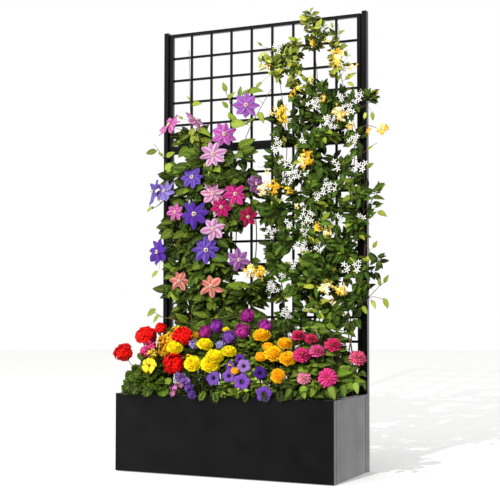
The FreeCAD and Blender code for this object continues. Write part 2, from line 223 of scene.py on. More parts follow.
def pottingSoil():
    # Bark and peat compost: dark brown crumbs with paler fibres
    material, tree, shader = startMaterial("pottingSoil")
    fibres = objectNoise(tree, 2.2, 4)
    crumbShare = addNode(tree, "ShaderNodeMapRange",
                         {0: objectNoise(tree, 9, 6), 1: 0.35, 2: 0.65, 3: 0, 4: 1})
    crumbs = addNode(tree, "ShaderNodeMix",
                     {0: crumbShare, 6: paint("#1F140C"), 7: paint("#5B3B22")}, data_type="RGBA")
    fibreShare = addNode(tree, "ShaderNodeMapRange", {0: fibres, 1: 0.6, 2: 0.75, 3: 0, 4: 0.7})
    brown = addNode(tree, "ShaderNodeMix",
                    {0: fibreShare, 6: crumbs.outputs[2], 7: paint("#94704A")}, data_type="RGBA")
    bump = addNode(tree, "ShaderNodeBump",
                   {"Height": fibres, "Distance": 1.2 * millimetre, "Strength": 1})
    setInputs(tree, shader, {"Base Color": brown.outputs[2], "Roughness": 0.95, "Normal": bump})
    return material


def leafPlan(tree):  # how far off the midrib a point of a leaf or petal is, and its place along it
    plan = addNode(tree, "ShaderNodeSeparateXYZ",
                   {0: addNode(tree, "ShaderNodeUVMap", {}, uv_map="UVMap")})
    side = addNode(tree, "ShaderNodeMath", {0: plan.outputs["X"], 1: 0.5}, operation="SUBTRACT")
    return addNode(tree, "ShaderNodeMath", {0: side}, operation="ABSOLUTE"), plan


def leafMaterial(name, gloss, sideVeins, mottle):
    # Living leaf: its own green at every leaf, a pale midrib, side veins that leave it at a slant,
    # a waxy skin and blotches a few centimetres wide
    material, tree, shader = startMaterial(name)
    green = addNode(tree, "ShaderNodeAttribute", {}, attribute_name="main")
    off, plan = leafPlan(tree)
    slant = addNode(tree, "ShaderNodeMath", {0: off, 1: -0.7, 2: plan.outputs["Y"]},
                    operation="MULTIPLY_ADD")
    wave = addNode(tree, "ShaderNodeMath", {0: slant, 1: sideVeins * 2 * math.pi},
                   operation="MULTIPLY")
    ribs = addNode(tree, "ShaderNodeMath", {0: wave}, operation="COSINE")
    sideLines = addNode(tree, "ShaderNodeMapRange", {0: ribs, 1: 0.75, 2: 1.0, 3: 0, 4: 0.2})
    midLine = addNode(tree, "ShaderNodeMapRange", {0: off, 1: 0.01, 2: 0.045, 3: 0.6, 4: 0})
    veins = addNode(tree, "ShaderNodeMath", {0: sideLines, 1: midLine}, operation="MAXIMUM")
    blotch = addNode(tree, "ShaderNodeMapRange",
                     {0: objectNoise(tree, mottle), 1: 0.3, 2: 0.7, 3: 0, 4: 0.55})
    shade = addNode(tree, "ShaderNodeMix", {0: blotch, 6: green, 7: (0.35, 0.45, 0.3, 1)},
                    data_type="RGBA", blend_type="MULTIPLY")
    veined = addNode(tree, "ShaderNodeMix", {0: veins, 6: shade.outputs[2], 7: paint("#8CA04A")},
                     data_type="RGBA")
    bump = addNode(tree, "ShaderNodeBump",
                   {"Height": veins, "Distance": -0.5 * millimetre, "Strength": 1})
    setInputs(tree, shader, {"Base Color": veined.outputs[2], "Roughness": gloss, "IOR": 1.3,
                             "Normal": bump})
    return material


def petalMaterial(name, bar, barWidth, throat, roughness=0.55, veins=0):
    # Living petal: matt and slightly velvety, its own colour at every bloom, with a bar of the
    # accent colour down the middle or an accent throat at its foot
    material, tree, shader = startMaterial(name)
    main = addNode(tree, "ShaderNodeAttribute", {}, attribute_name="main")
    accent = addNode(tree, "ShaderNodeAttribute", {}, attribute_name="accent")
    off, plan = leafPlan(tree)
    barShare = addNode(tree, "ShaderNodeMapRange",
                       {0: off, 1: barWidth * 0.2, 2: barWidth, 3: bar, 4: 0})
    footShare = addNode(tree, "ShaderNodeMapRange",
                        {0: plan.outputs["Y"], 1: throat * 0.3, 2: throat + 0.001,
                         3: 1 if throat else 0, 4: 0})
    share = addNode(tree, "ShaderNodeMath", {0: barShare, 1: footShare}, operation="MAXIMUM")
    if veins:
        fan = addNode(tree, "ShaderNodeMath", {0: plan.outputs["X"], 1: veins * 2 * math.pi},
                      operation="MULTIPLY")
        lines = addNode(tree, "ShaderNodeMath", {0: fan}, operation="COSINE")
        faint = addNode(tree, "ShaderNodeMapRange", {0: lines, 1: 0.4, 2: 1.0, 3: 0, 4: 0.35})
        share = addNode(tree, "ShaderNodeMath", {0: share, 1: faint}, operation="MAXIMUM")
    colour = addNode(tree, "ShaderNodeMix", {0: share, 6: main, 7: accent}, data_type="RGBA")
    cloud = addNode(tree, "ShaderNodeMapRange",
                    {0: objectNoise(tree, 14), 1: 0.35, 2: 0.7, 3: 0, 4: 0.22})
    softened = addNode(tree, "ShaderNodeMix", {0: cloud, 6: colour.outputs[2], 7: (0.84, 0.8, 0.84, 1)},
                       data_type="RGBA", blend_type="MULTIPLY")
    lengthwise = addNode(tree, "ShaderNodeMath", {0: off, 1: 90}, operation="MULTIPLY")
    grooves = addNode(tree, "ShaderNodeMath", {0: lengthwise}, operation="SINE")
    bump = addNode(tree, "ShaderNodeBump",
                   {"Height": grooves, "Distance": 0.12 * millimetre, "Strength": 1})
    setInputs(tree, shader, {"Base Color": softened.outputs[2], "Roughness": roughness, "IOR": 1.25,
                             "Sheen Weight": 0.04, "Normal": bump})
    return material


def plainPlant(name, roughness, grain, depth):
    # Bark, green stem or pollen: its own colour at every piece, streaked by its grain
    material, tree, shader = startMaterial(name)
    main = addNode(tree, "ShaderNodeAttribute", {}, attribute_name="main")
    streak = objectNoise(tree, grain)
    share = addNode(tree, "ShaderNodeMapRange", {0: streak, 1: 0.35, 2: 0.65, 3: 0, 4: 0.6})
    streaked = addNode(tree, "ShaderNodeMix", {0: share, 6: main, 7: (0.45, 0.4, 0.35, 1)},
                       data_type="RGBA", blend_type="MULTIPLY")
    bump = addNode(tree, "ShaderNodeBump",
                   {"Height": streak, "Distance": depth * millimetre, "Strength": 1})
    setInputs(tree, shader, {"Base Color": streaked.outputs[2], "Roughness": roughness,
                             "Normal": bump})
    return material


coat = powderCoat()
rubber = mouldedBlack("blackRubber", "#0B0B0C", 0.8, 0.9)
nylon = mouldedBlack("blackNylon", "#0E0E10", 0.5, 1.4)
zinc = zincPlate()
soilMix = pottingSoil()
clematisLeaf = leafMaterial("clematisLeaf", 0.42, 5, 60)
jasmineLeaf = leafMaterial("jasmineLeaf", 0.36, 7, 60)
honeysuckleLeaf = leafMaterial("honeysuckleLeaf", 0.45, 5, 60)
beddingLeaf = leafMaterial("beddingLeaf", 0.5, 6, 50)
clematisPetal = petalMaterial("clematisPetal", 0.8, 0.24, 0.0, 0.5)
trumpetPetal = petalMaterial("honeysucklePetal", 0.0, 0.1, 0.25, 0.5)
starPetal = petalMaterial("jasminePetal", 0.0, 0.1, 0.12, 0.5)
floretPetal = petalMaterial("floretPetal", 0.0, 0.1, 0.22, 0.55)
rayPetal = petalMaterial("rayPetal", 0.1, 0.3, 0.25, 0.6)
funnelPetal = petalMaterial("petuniaPetal", 0.0, 0.1, 0.42, 0.5, veins=10)
greenStem = plainPlant("greenStem", 0.55, 6, 0.2)
brownStem = plainPlant("woodyStem", 0.8, 4, 0.6)
pollen = plainPlant("stamens", 0.7, 2, 0.1)

finishes = {"black_powder_coat": coat, "black_rubber": rubber, "black_nylon": nylon,
            "zinc_plated_steel": zinc}
for part in frame["record"]["subparts"]:
    if part["material_slot"] in finishes:
        shown = frame["nodes"][part["node"]]
        shown.data.materials.clear()
        shown.data.materials.append(finishes[part["material_slot"]])
print("metalwork finished")


# Mesh helpers

def startMesh():
    mesh = bmesh.new()
    mesh.verts.layers.float_color.new("main")
    mesh.verts.layers.float_color.new("accent")
    mesh.loops.layers.uv.new("UVMap")
    return mesh


def keep(mesh, name):  # a shape to be copied many times
    for face in mesh.faces:
        face.smooth = True
    data = bpy.data.meshes.new(name)
    mesh.to_mesh(data)
    mesh.free()
    return data


def closedSheet(name, across, along, shape, thickness):
    # A thin closed leaf or petal: two skins that meet at the edge, over a unit square
    mesh = startMesh()
    bmesh.ops.create_grid(mesh, x_segments=across, y_segments=along, size=0.5, calc_uvs=True)
    for vert in mesh.verts:
        vert.co = Vector(shape(vert.co.x * 2, vert.co.y + 0.5))
    inner = [not vert.is_boundary for vert in mesh.verts]
    under = bmesh.ops.duplicate(mesh, geom=mesh.verts[:] + mesh.edges[:] + mesh.faces[:])["geom"]
    underVerts = [item for item in under if isinstance(item, bmesh.types.BMVert)]
    for vert, isInner in zip(underVerts, inner):
        if isInner:
            vert.co.z -= thickness
    bmesh.ops.reverse_faces(mesh, faces=[f for f in under if isinstance(f, bmesh.types.BMFace)])
    bmesh.ops.remove_doubles(mesh, verts=mesh.verts[:], dist=0.0005)
    bmesh.ops.recalc_face_normals(mesh, faces=mesh.faces[:])
    return keep(mesh, name)


def addCopy(mesh, shape, matrix, main, accent=None):
    first = len(mesh.verts)
    mesh.from_mesh(shape)
    mesh.verts.ensure_lookup_table()
    mainLayer = mesh.verts.layers.float_color["main"]
    accentLayer = mesh.verts.layers.float_color["accent"]
    for vert in mesh.verts[first:]:
        vert.co = matrix @ vert.co
        vert[mainLayer] = main
        vert[accentLayer] = accent or main


def addFivePetals(mesh, shape, head, main, accent):
    for i in range(5):
        petal = Matrix.Rotation(2 * math.pi * i / 5, 4, "Z") @ Matrix.Rotation(0.1, 4, "X")
        addCopy(mesh, shape, head @ petal, main, accent)


def aimed(point, way, spin, size):  # a bloom's axis, +Z, turned to way
    turn = way.to_track_quat("Z", "Y").to_matrix().to_4x4()
    return (Matrix.Translation(point) @ turn @ Matrix.Rotation(spin, 4, "Z")
            @ Matrix.Scale(size, 4))


def leafPlace(base, along, normal, length, width=1.0):  # a leaf from its foot along +Y, face +Z
    y = along.normalized()
    z = (normal - y * normal.dot(y)).normalized()
    x = y.cross(z)
    matrix = Matrix((x * width * length, y * length, z * length)).transposed().to_4x4()
    matrix.translation = base
    return matrix


def place(mesh, name, material, slotName, *stoodFor):
    data = bpy.data.meshes.new(name)
    mesh.to_mesh(data)
    mesh.free()
    data.materials.append(material)
    piece = bpy.data.objects.new(name, data)
    bpy.context.scene.collection.objects.link(piece)
    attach(piece, "root")
    if stoodFor:
        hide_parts(*stoodFor)
    return piece


def startStems(name, sides):
    curve = bpy.data.curves.new(name, "CURVE")
    curve.dimensions = "3D"
    curve.bevel_depth = millimetre
    curve.bevel_resolution = sides
    curve.resolution_u = 3
    curve.use_fill_caps = True
    return curve


def drawStem(curve, points, thick, thin):  # radii in millimetres
    line = curve.splines.new("NURBS")
    line.points.add(len(points) - 1)
    for i, (knot, point) in enumerate(zip(line.points, points)):
        knot.co = (*point, 1)
        knot.radius = thick + (thin - thick) * i / (len(points) - 1)
    line.order_u = 3
    line.use_endpoint_u = True


def placeStems(curve, colour, material, slotName, *stoodFor):
    drawn = bpy.data.objects.new(curve.name + "Line", curve)
    bpy.context.scene.collection.objects.link(drawn)
    bpy.context.view_layer.update()
    mesh = startMesh()
    mesh.from_mesh(bpy.data.meshes.new_from_object(drawn))
    bpy.data.objects.remove(drawn)
    layer = mesh.verts.layers.float_color["main"]
    for vert in mesh.verts:
        vert[layer] = colour
    for face in mesh.faces:
        face.smooth = True
    bmesh.ops.remove_doubles(mesh, verts=mesh.verts[:], dist=0.02 * millimetre)
    bmesh.ops.recalc_face_normals(mesh, faces=mesh.faces[:])
    return place(mesh, curve.name, material, slotName, *stoodFor)


# Leaf and petal shapes, one unit long

def bladeShape(halfWidth, belly, fold, droop, wave=0.0, foot=0.0):
    def shape(u, v):
        width = halfWidth * (math.sin(math.pi * v ** belly) ** 0.8 + foot * (1 - v) ** 3)
        return (u * width, v, abs(u) * width * fold - droop * v * v + wave * math.sin(9 * v + u) * u * u)
    return shape


def roundLeaf(u, v):  # geranium leaf: a scalloped disc, notched at its stalk
    x, y = u, v * 2 - 1
    reach = math.hypot(x, y)
    if reach < 1e-6:
        return (0, 0.5, 0)
    square = max(abs(x), abs(y))
    angle = math.atan2(x, -y)
    scallop = 1 + 0.07 * math.cos(angle * 9)
    notch = 1 - 0.75 * math.exp(-(angle / 0.22) ** 2)
    radius = 0.52 * square * scallop * notch
    ruffle = 0.05 * math.cos(angle * 9) * square ** 2
    return (radius * x / reach, 0.5 + radius * y / reach, 0.28 * square ** 2 * 0.5 + ruffle)


def notchedPetal(halfWidth, tip, foot=0.25):  # broad at the tip, with a wavy end
    def shape(u, v):
        width = halfWidth * (foot + (1 - foot) * math.sin(math.pi / 2 * min(1, v * 1.25)))
        end = 1 - 0.16 * u * u - tip * math.cos(u * 5) * 0.5
        return (u * width, v * end, 0.16 * v * v - 0.12 * abs(u) * v + 0.05 * math.sin(u * 7) * v)
    return shape


clematisLeafShape = closedSheet("clematisLeafShape", 4, 5, bladeShape(0.27, 0.72, 0.3, 0.2, 0.02), 0.012)
honeysuckleLeafShape = closedSheet("honeysuckleLeafShape", 4, 5, bladeShape(0.23, 0.85, 0.3, 0.16, 0.03),
                                   0.014)
jasmineLeafShape = closedSheet("jasmineLeafShape", 4, 5, bladeShape(0.21, 0.8, 0.5, 0.14, 0.02), 0.014)
lanceLeafShape = closedSheet("lanceLeafShape", 4, 6, bladeShape(0.2, 0.8, 0.4, 0.25, 0.03), 0.014)
zinniaLeafShape = closedSheet("zinniaLeafShape", 4, 6, bladeShape(0.27, 0.68, 0.35, 0.3, 0.04), 0.014)
needleShape = closedSheet("needleShape", 2, 3, bladeShape(0.15, 0.8, 0.3, 0.2), 0.02)
softLeafShape = closedSheet("softLeafShape", 4, 6, bladeShape(0.27, 0.85, 0.3, 0.25, 0.03), 0.014)
scallopLeafShape = closedSheet("scallopLeafShape", 10, 10, roundLeaf, 0.014)
clematisPetalShape = closedSheet("clematisPetalShape", 6, 10,
                                 bladeShape(0.26, 0.95, -0.35, 0.16, 0.07, 0.3), 0.014)
starPetalShape = closedSheet("starPetalShape", 2, 4, bladeShape(0.17, 0.9, -0.2, 0.12), 0.03)
lipShape = closedSheet("lipShape", 3, 5, bladeShape(0.24, 1.1, -0.3, 0.75), 0.03)
floretPetalShape = closedSheet("floretPetalShape", 2, 3, notchedPetal(0.48, 0.06, 0.4), 0.04)
marigoldPetalShape = closedSheet("marigoldPetalShape", 4, 3, notchedPetal(0.44, 0.1), 0.03)
zinniaPetalShape = closedSheet("zinniaPetalShape", 3, 4, notchedPetal(0.22, 0.03), 0.02)
pansyPetalShape = closedSheet("pansyPetalShape", 4, 4, notchedPetal(0.55, 0.05), 0.02)


def featherShape():  # marigold leaf: pairs of narrow leaflets along a thin rib
    mesh = startMesh()
    pairs = 5
    for i in range(pairs):
        along = 0.2 + 0.7 * i / (pairs - 1)
        length = 0.46 * math.sin(math.pi * (0.3 + 0.6 * i / pairs))
        for side in (-1, 1):
            way = Vector((side * 0.8, 0.62, 0.08))
            foot = Vector((0, along, -0.12 * along ** 2))
            addCopy(mesh, needleShape, leafPlace(foot, way, Vector((0, 0, 1)), length, 1.1), white)
    tip = leafPlace(Vector((0, 0.85, -0.09)), Vector((0, 1, -0.2)), Vector((0, 0, 1)), 0.38)
    addCopy(mesh, needleShape, tip, white)
    rib = leafPlace(Vector((0, 0, 0)), Vector((0, 1, -0.1)), Vector((0, 0, 1)), 1.0, 0.16)
    addCopy(mesh, needleShape, rib, white)
    return keep(mesh, "featherLeafShape")


def funnelShape():  # petunia: a tube that flares into five ruffled lobes
    mesh = startMesh()
    rings = ((0.10, -0.75), (0.13, -0.5), (0.2, -0.25), (0.34, -0.08), (0.55, 0.0), (0.78, 0.02),
             (1.0, -0.02))
    steps = 30
    made = bmesh.ops.create_circle(mesh, segments=steps, radius=rings[0][0])["verts"]
    edges = mesh.edges[:]
    bmesh.ops.translate(mesh, verts=made, vec=(0, 0, rings[0][1]))
    for radius, height in rings[1:]:
        grown = bmesh.ops.extrude_edge_only(mesh, edges=edges)["geom"]
        verts = [g for g in grown if isinstance(g, bmesh.types.BMVert)]
        edges = [g for g in grown if isinstance(g, bmesh.types.BMEdge)]
        flare = radius ** 3
        for vert in verts:
            angle = math.atan2(vert.co.y, vert.co.x)
            reach = radius * (1 - 0.16 * flare * abs(math.sin(2.5 * angle)) ** 3)
            lift = height + 0.08 * flare * math.sin(5 * angle + 1) + 0.03 * flare * math.sin(11 * angle)
            vert.co = (reach * math.cos(angle), reach * math.sin(angle), lift)
    layer = mesh.loops.layers.uv["UVMap"]
    for face in mesh.faces:
        middle = face.calc_center_median()
        for loop in face.loops:
            reach = math.hypot(loop.vert.co.x, loop.vert.co.y)
            angle = math.atan2(loop.vert.co.y, loop.vert.co.x) / (2 * math.pi)
            home = math.atan2(middle.y, middle.x) / (2 * math.pi)
            loop[layer].uv = (angle + round(home - angle), reach)
    bmesh.ops.recalc_face_normals(mesh, faces=mesh.faces[:])
    bmesh.ops.solidify(mesh, geom=mesh.faces[:], thickness=0.025)
    bmesh.ops.recalc_face_normals(mesh, faces=mesh.faces[:])
    return keep(mesh, "funnelShape")


def trumpetShape():  # honeysuckle: a curved tube, a broad upper lip, a narrow lower one, stamens
    mesh = startMesh()
    sides = 6
    steps = 6
    bmesh.ops.create_circle(mesh, cap_ends=True, segments=sides, radius=0.035)
    edges = mesh.edges[:]
    for i in range(1, steps + 1):
        grown = bmesh.ops.extrude_edge_only(mesh, edges=edges)["geom"]
        verts = [g for g in grown if isinstance(g, bmesh.types.BMVert)]
        edges = [g for g in grown if isinstance(g, bmesh.types.BMEdge)]
        bend = Matrix.Rotation(-0.09, 4, "X")
        swell = 1.12 if i < steps else 1.5
        middle = sum((v.co for v in verts), Vector()) / len(verts)
        bmesh.ops.transform(mesh, verts=verts, space=Matrix.Translation(-middle),
                            matrix=bend @ Matrix.Scale(swell, 4))
        way = Vector((0, math.sin(0.09 * i), math.cos(0.09 * i)))
        bmesh.ops.translate(mesh, verts=verts, vec=way * 0.11)
    bmesh.ops.edgenet_fill(mesh, edges=edges)
    mouth = sum((v.co for v in verts), Vector()) / len(verts)
    out = Vector((0, 0.5, 0.86))
    for turn, length, width in ((0.0, 0.5, 1.0), (0.55, 0.46, 0.7), (-0.55, 0.46, 0.7)):
        way = Matrix.Rotation(turn, 3, out) @ Vector((0, 0.95, 0.25))
        addCopy(mesh, lipShape, leafPlace(mouth, way, out, length, width), white)
    addCopy(mesh, lipShape, leafPlace(mouth, Vector((0, -0.8, 0.5)), out, 0.5, 0.6), white)
    for i in range(4):
        way = (out + wobble(0.25)).normalized()
        thread = Matrix.Translation(mouth + way * 0.22) @ way.to_track_quat("Z", "Y").to_matrix().to_4x4()
        bmesh.ops.create_cone(mesh, cap_ends=True, segments=3, radius1=0.008, radius2=0.02, depth=0.46,
                              matrix=thread)
    bmesh.ops.recalc_face_normals(mesh, faces=mesh.faces[:])
    layer = mesh.verts.layers.float_color["main"]
    for vert in mesh.verts:
        vert[layer] = white
    return keep(mesh, "trumpetShape")


def ballShape():  # the solid middle of a packed flower head
    mesh = startMesh()
    bmesh.ops.create_icosphere(mesh, subdivisions=2, radius=1)
    return keep(mesh, "ballShape")


featherLeafShape = featherShape()
petuniaShape = funnelShape()
trumpetFlowerShape = trumpetShape()
ball = ballShape()
print("leaf and petal shapes made")


# Growing

clearings = []  # flowers that no leaf may hide: picture place, radius in pixels, distance


def keepClear(u, v, radius, point):
    clearings.append((u, v, radius, toPicture(point)[2]))


room = {"low": (-0.56, -0.248, 0.2), "high": (0.585, 0.214, 1.85)}  # leaves stay in here, in metres
behindFlower = 0.012  # metres that a leaf must lie further off than the flower in front of it


def isFree(point):  # a leaf there would neither hide a flower nor reach too far out
    if any(not low < value < high for low, value, high in zip(room["low"], point, room["high"])):
        return False
    u, v, distance = toPicture(point)
    return not any(distance < far + behindFlower and (u - atU) ** 2 + (v - atV) ** 2 < radius * radius
                   for atU, atV, radius, far in clearings)


def leafFits(foot, way, length, *shares):  # looks at the given shares of its length, in millimetres
    reach = way.normalized() * length * millimetre
    return all(isFree(foot + reach * share) for share in shares)


def stemPath(points, depths):  # picture points with a depth each, as points in metres
    return [fromPicture(u, v, depth) for (u, v), depth in zip(points, depths)]


def pointsAlong(path, step):
    found = []
    for a, b in zip(path, path[1:]):
        count = max(1, round((b - a).length / step))
        found += [a.lerp(b, i / count) for i in range(count)]
    return found + [path[-1]]


def nearest(points, target):
    return min(points, key=lambda p: (p - target).length_squared)


def arc(start, end, bulge):  # a gently bent line from start to end
    middle = start.lerp(end, 0.5) + bulge
    return [start, start.lerp(middle, 0.6), middle, middle.lerp(end, 0.5), end]


def insidePatch(patch, depthLow, depthHigh):
    u, v, wide, high = patch[:4]
    angle, reach = random.uniform(0, 2 * math.pi), math.sqrt(random.random())
    depth = depthLow + (depthHigh - depthLow) * random.random()
    return fromPicture(u + wide * reach * math.cos(angle), v + high * reach * math.sin(angle), depth)


def leafNormal(y, spread):  # leaves look outwards and up, those behind the bars look back
    out = Vector((0.3, -1 if y < trellisFront else 1, 0.45))
    return (out + wobble(spread)).normalized()


def addLeaf(mesh, shape, base, along, normal, length, palette, light, width=1.0):
    # light scales the leaf's green: the caller's painted shade for leaves deep in the plant, times a random
    # brightness that is partly each leaf's own tone and partly painted light and shade for leaves turned
    # towards and away from the light; warm shifts the hue at random
    green = tinted(paint(random.choice(palette)), light * random.uniform(0.6, 1.35),
                   random.uniform(-0.04, 0.16))
    addCopy(mesh, shape, leafPlace(base, along, normal, length * millimetre, width), green)


def paintedDepthShade(y, near, far):  # painted shade: leaves further back in the plant get darker colours, from near at the front to far at the back
    return far + (near - far) * max(0.0, min(1.0, (0.19 - y) / 0.1)) ** 1.5


clematis = {
    # main stems: picture points from the soil up, and a depth for each
    "stems": (
        (((196, 345), (193, 318), (186, 290), (184, 258), (177, 225), (172, 192), (167, 168),
          (164, 157), (154, 144)), (0.11, 0.14, 0.17, 0.2, 0.172, 0.17, 0.168, 0.16, 0.15)),
        (((206, 345), (207, 310), (210, 280), (212, 250), (215, 222), (207, 190), (196, 160),
          (191, 130), (190, 97), (190, 70), (189, 50)),
         (0.11, 0.15, 0.2, 0.17, 0.172, 0.2, 0.175, 0.17, 0.17, 0.172, 0.175)),
        (((222, 345), (228, 312), (232, 280), (236, 245), (237, 215), (230, 180), (228, 150),
          (236, 124), (228, 96), (223, 84)),
         (0.11, 0.15, 0.17, 0.2, 0.17, 0.172, 0.2, 0.172, 0.17, 0.165)),
        (((238, 345), (246, 312), (253, 280), (257, 245), (256, 214), (248, 186), (240, 160),
          (246, 135), (258, 112), (273, 86)),
         (0.11, 0.15, 0.172, 0.2, 0.17, 0.17, 0.172, 0.17, 0.168, 0.165)),
        (((196, 345), (184, 325), (172, 318), (160, 318), (150, 308)),
         (0.1, 0.1, 0.12, 0.13, 0.13)),
        (((184, 258), (168, 262), (160, 262), (157, 253)), (0.17, 0.14, 0.12, 0.1)),
        (((172, 192), (164, 200), (158, 206), (152, 209)), (0.17, 0.14, 0.12, 0.11)),
    ),
    # leafy places: picture middle, half width, half height, how many shoots
    "patches": (
        (196, 250, 19, 38, 12), (225, 255, 27, 40, 16), (197, 298, 21, 28, 11),
        (238, 305, 20, 28, 10), (188, 318, 13, 12, 4), (208, 200, 24, 24, 14),
        (240, 205, 18, 24, 8), (182, 205, 10, 18, 5), (208, 166, 20, 12, 7),
        (236, 165, 12, 10, 3), (236, 184, 18, 10, 4), (200, 136, 10, 6, 3), (176, 172, 6, 6, 2),
        (250, 285, 12, 20, 4), (170, 292, 3, 12, 1), (173, 235, 4, 10, 1), (190, 148, 8, 5, 1),
        (208, 270, 24, 26, 9), (214, 320, 26, 12, 7), (190, 232, 16, 12, 4),
    ),
    # single leaves that stand clear: foot, then tip
    "loneLeaves": (
        ((157, 151), (145, 153)), ((163, 156), (158, 152)), ((166, 157), (174, 152)),
        ((165, 164), (178, 176)), ((192, 104), (201, 103)), ((190, 100), (187, 96)),
        ((228, 99), (234, 92)), ((226, 92), (223, 82)), ((240, 97), (240, 86)), ((242, 96), (249, 88)),
        ((247, 92), (262, 89)), ((230, 112), (229, 119)), ((230, 124), (246, 123)),
        ((246, 124), (254, 117)), ((236, 122), (230, 113)), ((158, 271), (151, 277)),
        ((156, 309), (146, 316)), ((160, 315), (152, 322)), ((154, 207), (146, 211)),
        ((183, 119), (178, 116)), ((258, 112), (264, 122)), ((196, 128), (211, 134)),
        ((194, 128), (188, 141)), ((186, 142), (176, 141)), ((188, 146), (178, 158)),
        ((238, 148), (254, 139)), ((200, 146), (196, 154)), ((228, 108), (222, 101)),
    ),
    "groundLine": 345,  # stems whose first point is this low in the picture root in the soil
    "mainStem": 3.2, "sideStem": 3.2, "stemTip": 1.0,  # radii in millimetres
    "loneFoot": 0.12, "loneTip": 0.11, "loneBend": 0.006, "loneWidth": 0.9,
    "leafLength": 65,
    "greens": ("#425A12", "#34490C", "#506818", "#263A08", "#627A20"),
    # pale yellow-green leaves: young growth, and painted highlight for leaves that catch the light
    "sunlitYoungGreens": ("#82962A", "#708622", "#94A43A"),
}

clematisColours = {
    # petals, then the bar down each petal
    "lilac": ("#AC74D2", "#A83A8C"), "orchid": ("#D27CD2", "#B81E84"), "pink": ("#E4A4D2", "#B43C8C"),
    "pale": ("#EAC0E2", "#C4509C"), "blush": ("#F2C2DE", "#D0488E"), "blue": ("#7C60CC", "#5C2C9C"),
    "violet": ("#5F3AB6", "#5A1E88"), "mauve": ("#B478BC", "#7A2878"), "magenta": ("#E8459F", "#B00A66"),
    "crimson": ("#D22476", "#8E0644"), "wine": ("#B8144E", "#780430"), "salmon": ("#F2A48C", "#CC4C50"),
    "sky": ("#A08EDC", "#7654B4"), "rose": ("#E480C2", "#B02484"),
}

clematisBlooms = (
    # picture place, radius in pixels, petals, colour, turned right, raised, depth
    (246, 105, 13.5, 8, "lilac", -8, 8, 0.10), (169, 125, 14, 6, "rose", -62, 34, 0.09),
    (196, 120, 12.5, 6, "pink", 50, 40, 0.11), (224, 134, 13.5, 8, "orchid", 4, 5, 0.10),
    (213, 154, 14, 8, "pale", -6, 6, 0.08), (192, 177, 13, 8, "blue", -18, 12, 0.085),
    (164, 191, 12.5, 7, "sky", -42, 18, 0.08), (153, 192, 14, 6, "blue", -72, 10, 0.085),
    (213, 193, 12.5, 7, "blush", -4, 8, 0.08), (235, 194, 12.5, 7, "magenta", 8, 4, 0.085),
    (256, 184, 11.5, 6, "mauve", 38, 6, 0.09), (221, 207, 11, 7, "crimson", -4, -4, 0.078),
    (175, 212, 10.5, 7, "rose", -30, 4, 0.08), (194, 214, 15, 8, "violet", -6, 0, 0.074),
    (248, 217, 10.5, 6, "wine", 4, -6, 0.08), (213, 229, 13, 6, "pale", -4, 2, 0.076),
    (206, 250, 15, 8, "blue", -4, -2, 0.076), (157, 252, 14, 7, "violet", -48, 6, 0.085),
    (239, 260, 12.5, 7, "mauve", 14, 10, 0.08), (179, 281, 11, 6, "salmon", -8, 0, 0.08),
    (211, 286, 13, 6, "salmon", -4, 2, 0.078),
)

clematisLeaves, clematisPetals, clematisHearts = startMesh(), startMesh(), startMesh()
clematisShoots = startStems("clematisShoots", 0)
vineStems = startStems("climberMainStems", 1)


def growClematis(mesh, shoots, knots, target):
    start = nearest(knots, target)
    if (target - start).length < 0.02:
        target = target + Vector((0, -0.03, 0.02))
    path = arc(start, target, wobble(0.012) + Vector((0, 0, 0.012)))
    spots = pointsAlong(path, 0.05)
    outward = (target - start).normalized()
    leafy = False
    for spot in spots[1:]:
        for side in (-1, 1):
            way = Vector((side, -0.35, 0)) + outward * 0.5 + wobble(0.5) - Vector((0, 0, 0.35))
            joint = spot + way.normalized() * random.uniform(0.012, 0.028)
            leaflets = ((0.0, 1.0),) if random.random() < 0.5 else ((0.0, 1.0), (0.95, 0.7), (-0.95, 0.7))
            grown = 0
            for turn, share in leaflets:
                normal = leafNormal(joint.y, 0.6)
                along = Matrix.Rotation(turn, 3, normal) @ (way + wobble(0.2))
                length = clematis["leafLength"] * share * random.uniform(0.7, 1.15)
                if not leafFits(joint, along, length, 0, 0.55, 1):
                    continue
                # a share of the leaves are pale: young growth, and painted highlight
                litYoungLeaf = random.random() < 0.14
                addLeaf(mesh, clematisLeafShape, joint, along, normal, length,
                        clematis["sunlitYoungGreens" if litYoungLeaf else "greens"],
                        paintedDepthShade(joint.y, 0.95, 0.2), random.uniform(0.85, 1.2))
                grown += 1
            if grown:
                leafy = True
                drawStem(shoots, [spot, spot.lerp(joint, 0.5) + Vector((0, 0, 0.003)), joint], 0.6, 0.5)
    if leafy:
        drawStem(shoots, path, 1.1, 0.6)
        knots.extend(spots[1:-1])


def makeClematisBloom(u, v, radius, petals, colour, turn, lift, depth):
    point = fromPicture(u, v, depth)
    size = radius * pixelAt(point)
    way = facing(point, turn, lift)
    base, bar = (tinted(paint(code), 0.62) for code in clematisColours[colour])
    head = aimed(point, way, random.uniform(0, 1), size)
    for i in range(petals):
        angle = 2 * math.pi * i / petals + random.uniform(-0.08, 0.08)
        tilt = (Matrix.Rotation(random.uniform(-0.12, 0.28), 4, "X")
                @ Matrix.Rotation(random.uniform(-0.35, 0.35), 4, "Y"))
        petal = (Matrix.Rotation(angle, 4, "Z") @ Matrix.Translation((0, 0.04, 0.01 * (i % 2))) @ tilt
                 @ Matrix.Diagonal((random.uniform(0.85, 1.25) * (7 / petals) ** 0.6,
                                    random.uniform(0.86, 1.04), 1, 1)))
        addCopy(clematisPetals, clematisPetalShape, head @ petal, tinted(base, random.uniform(0.88, 1.12)),
                bar)
    addStamens(head, paint("#EADDB8"), tinted(bar, 1.2))
    share = abs(math.cos(math.radians(turn)))
    keepClear(u, v, radius * (0.55 + 0.35 * share), point)
    return point - way * 0.1 * size


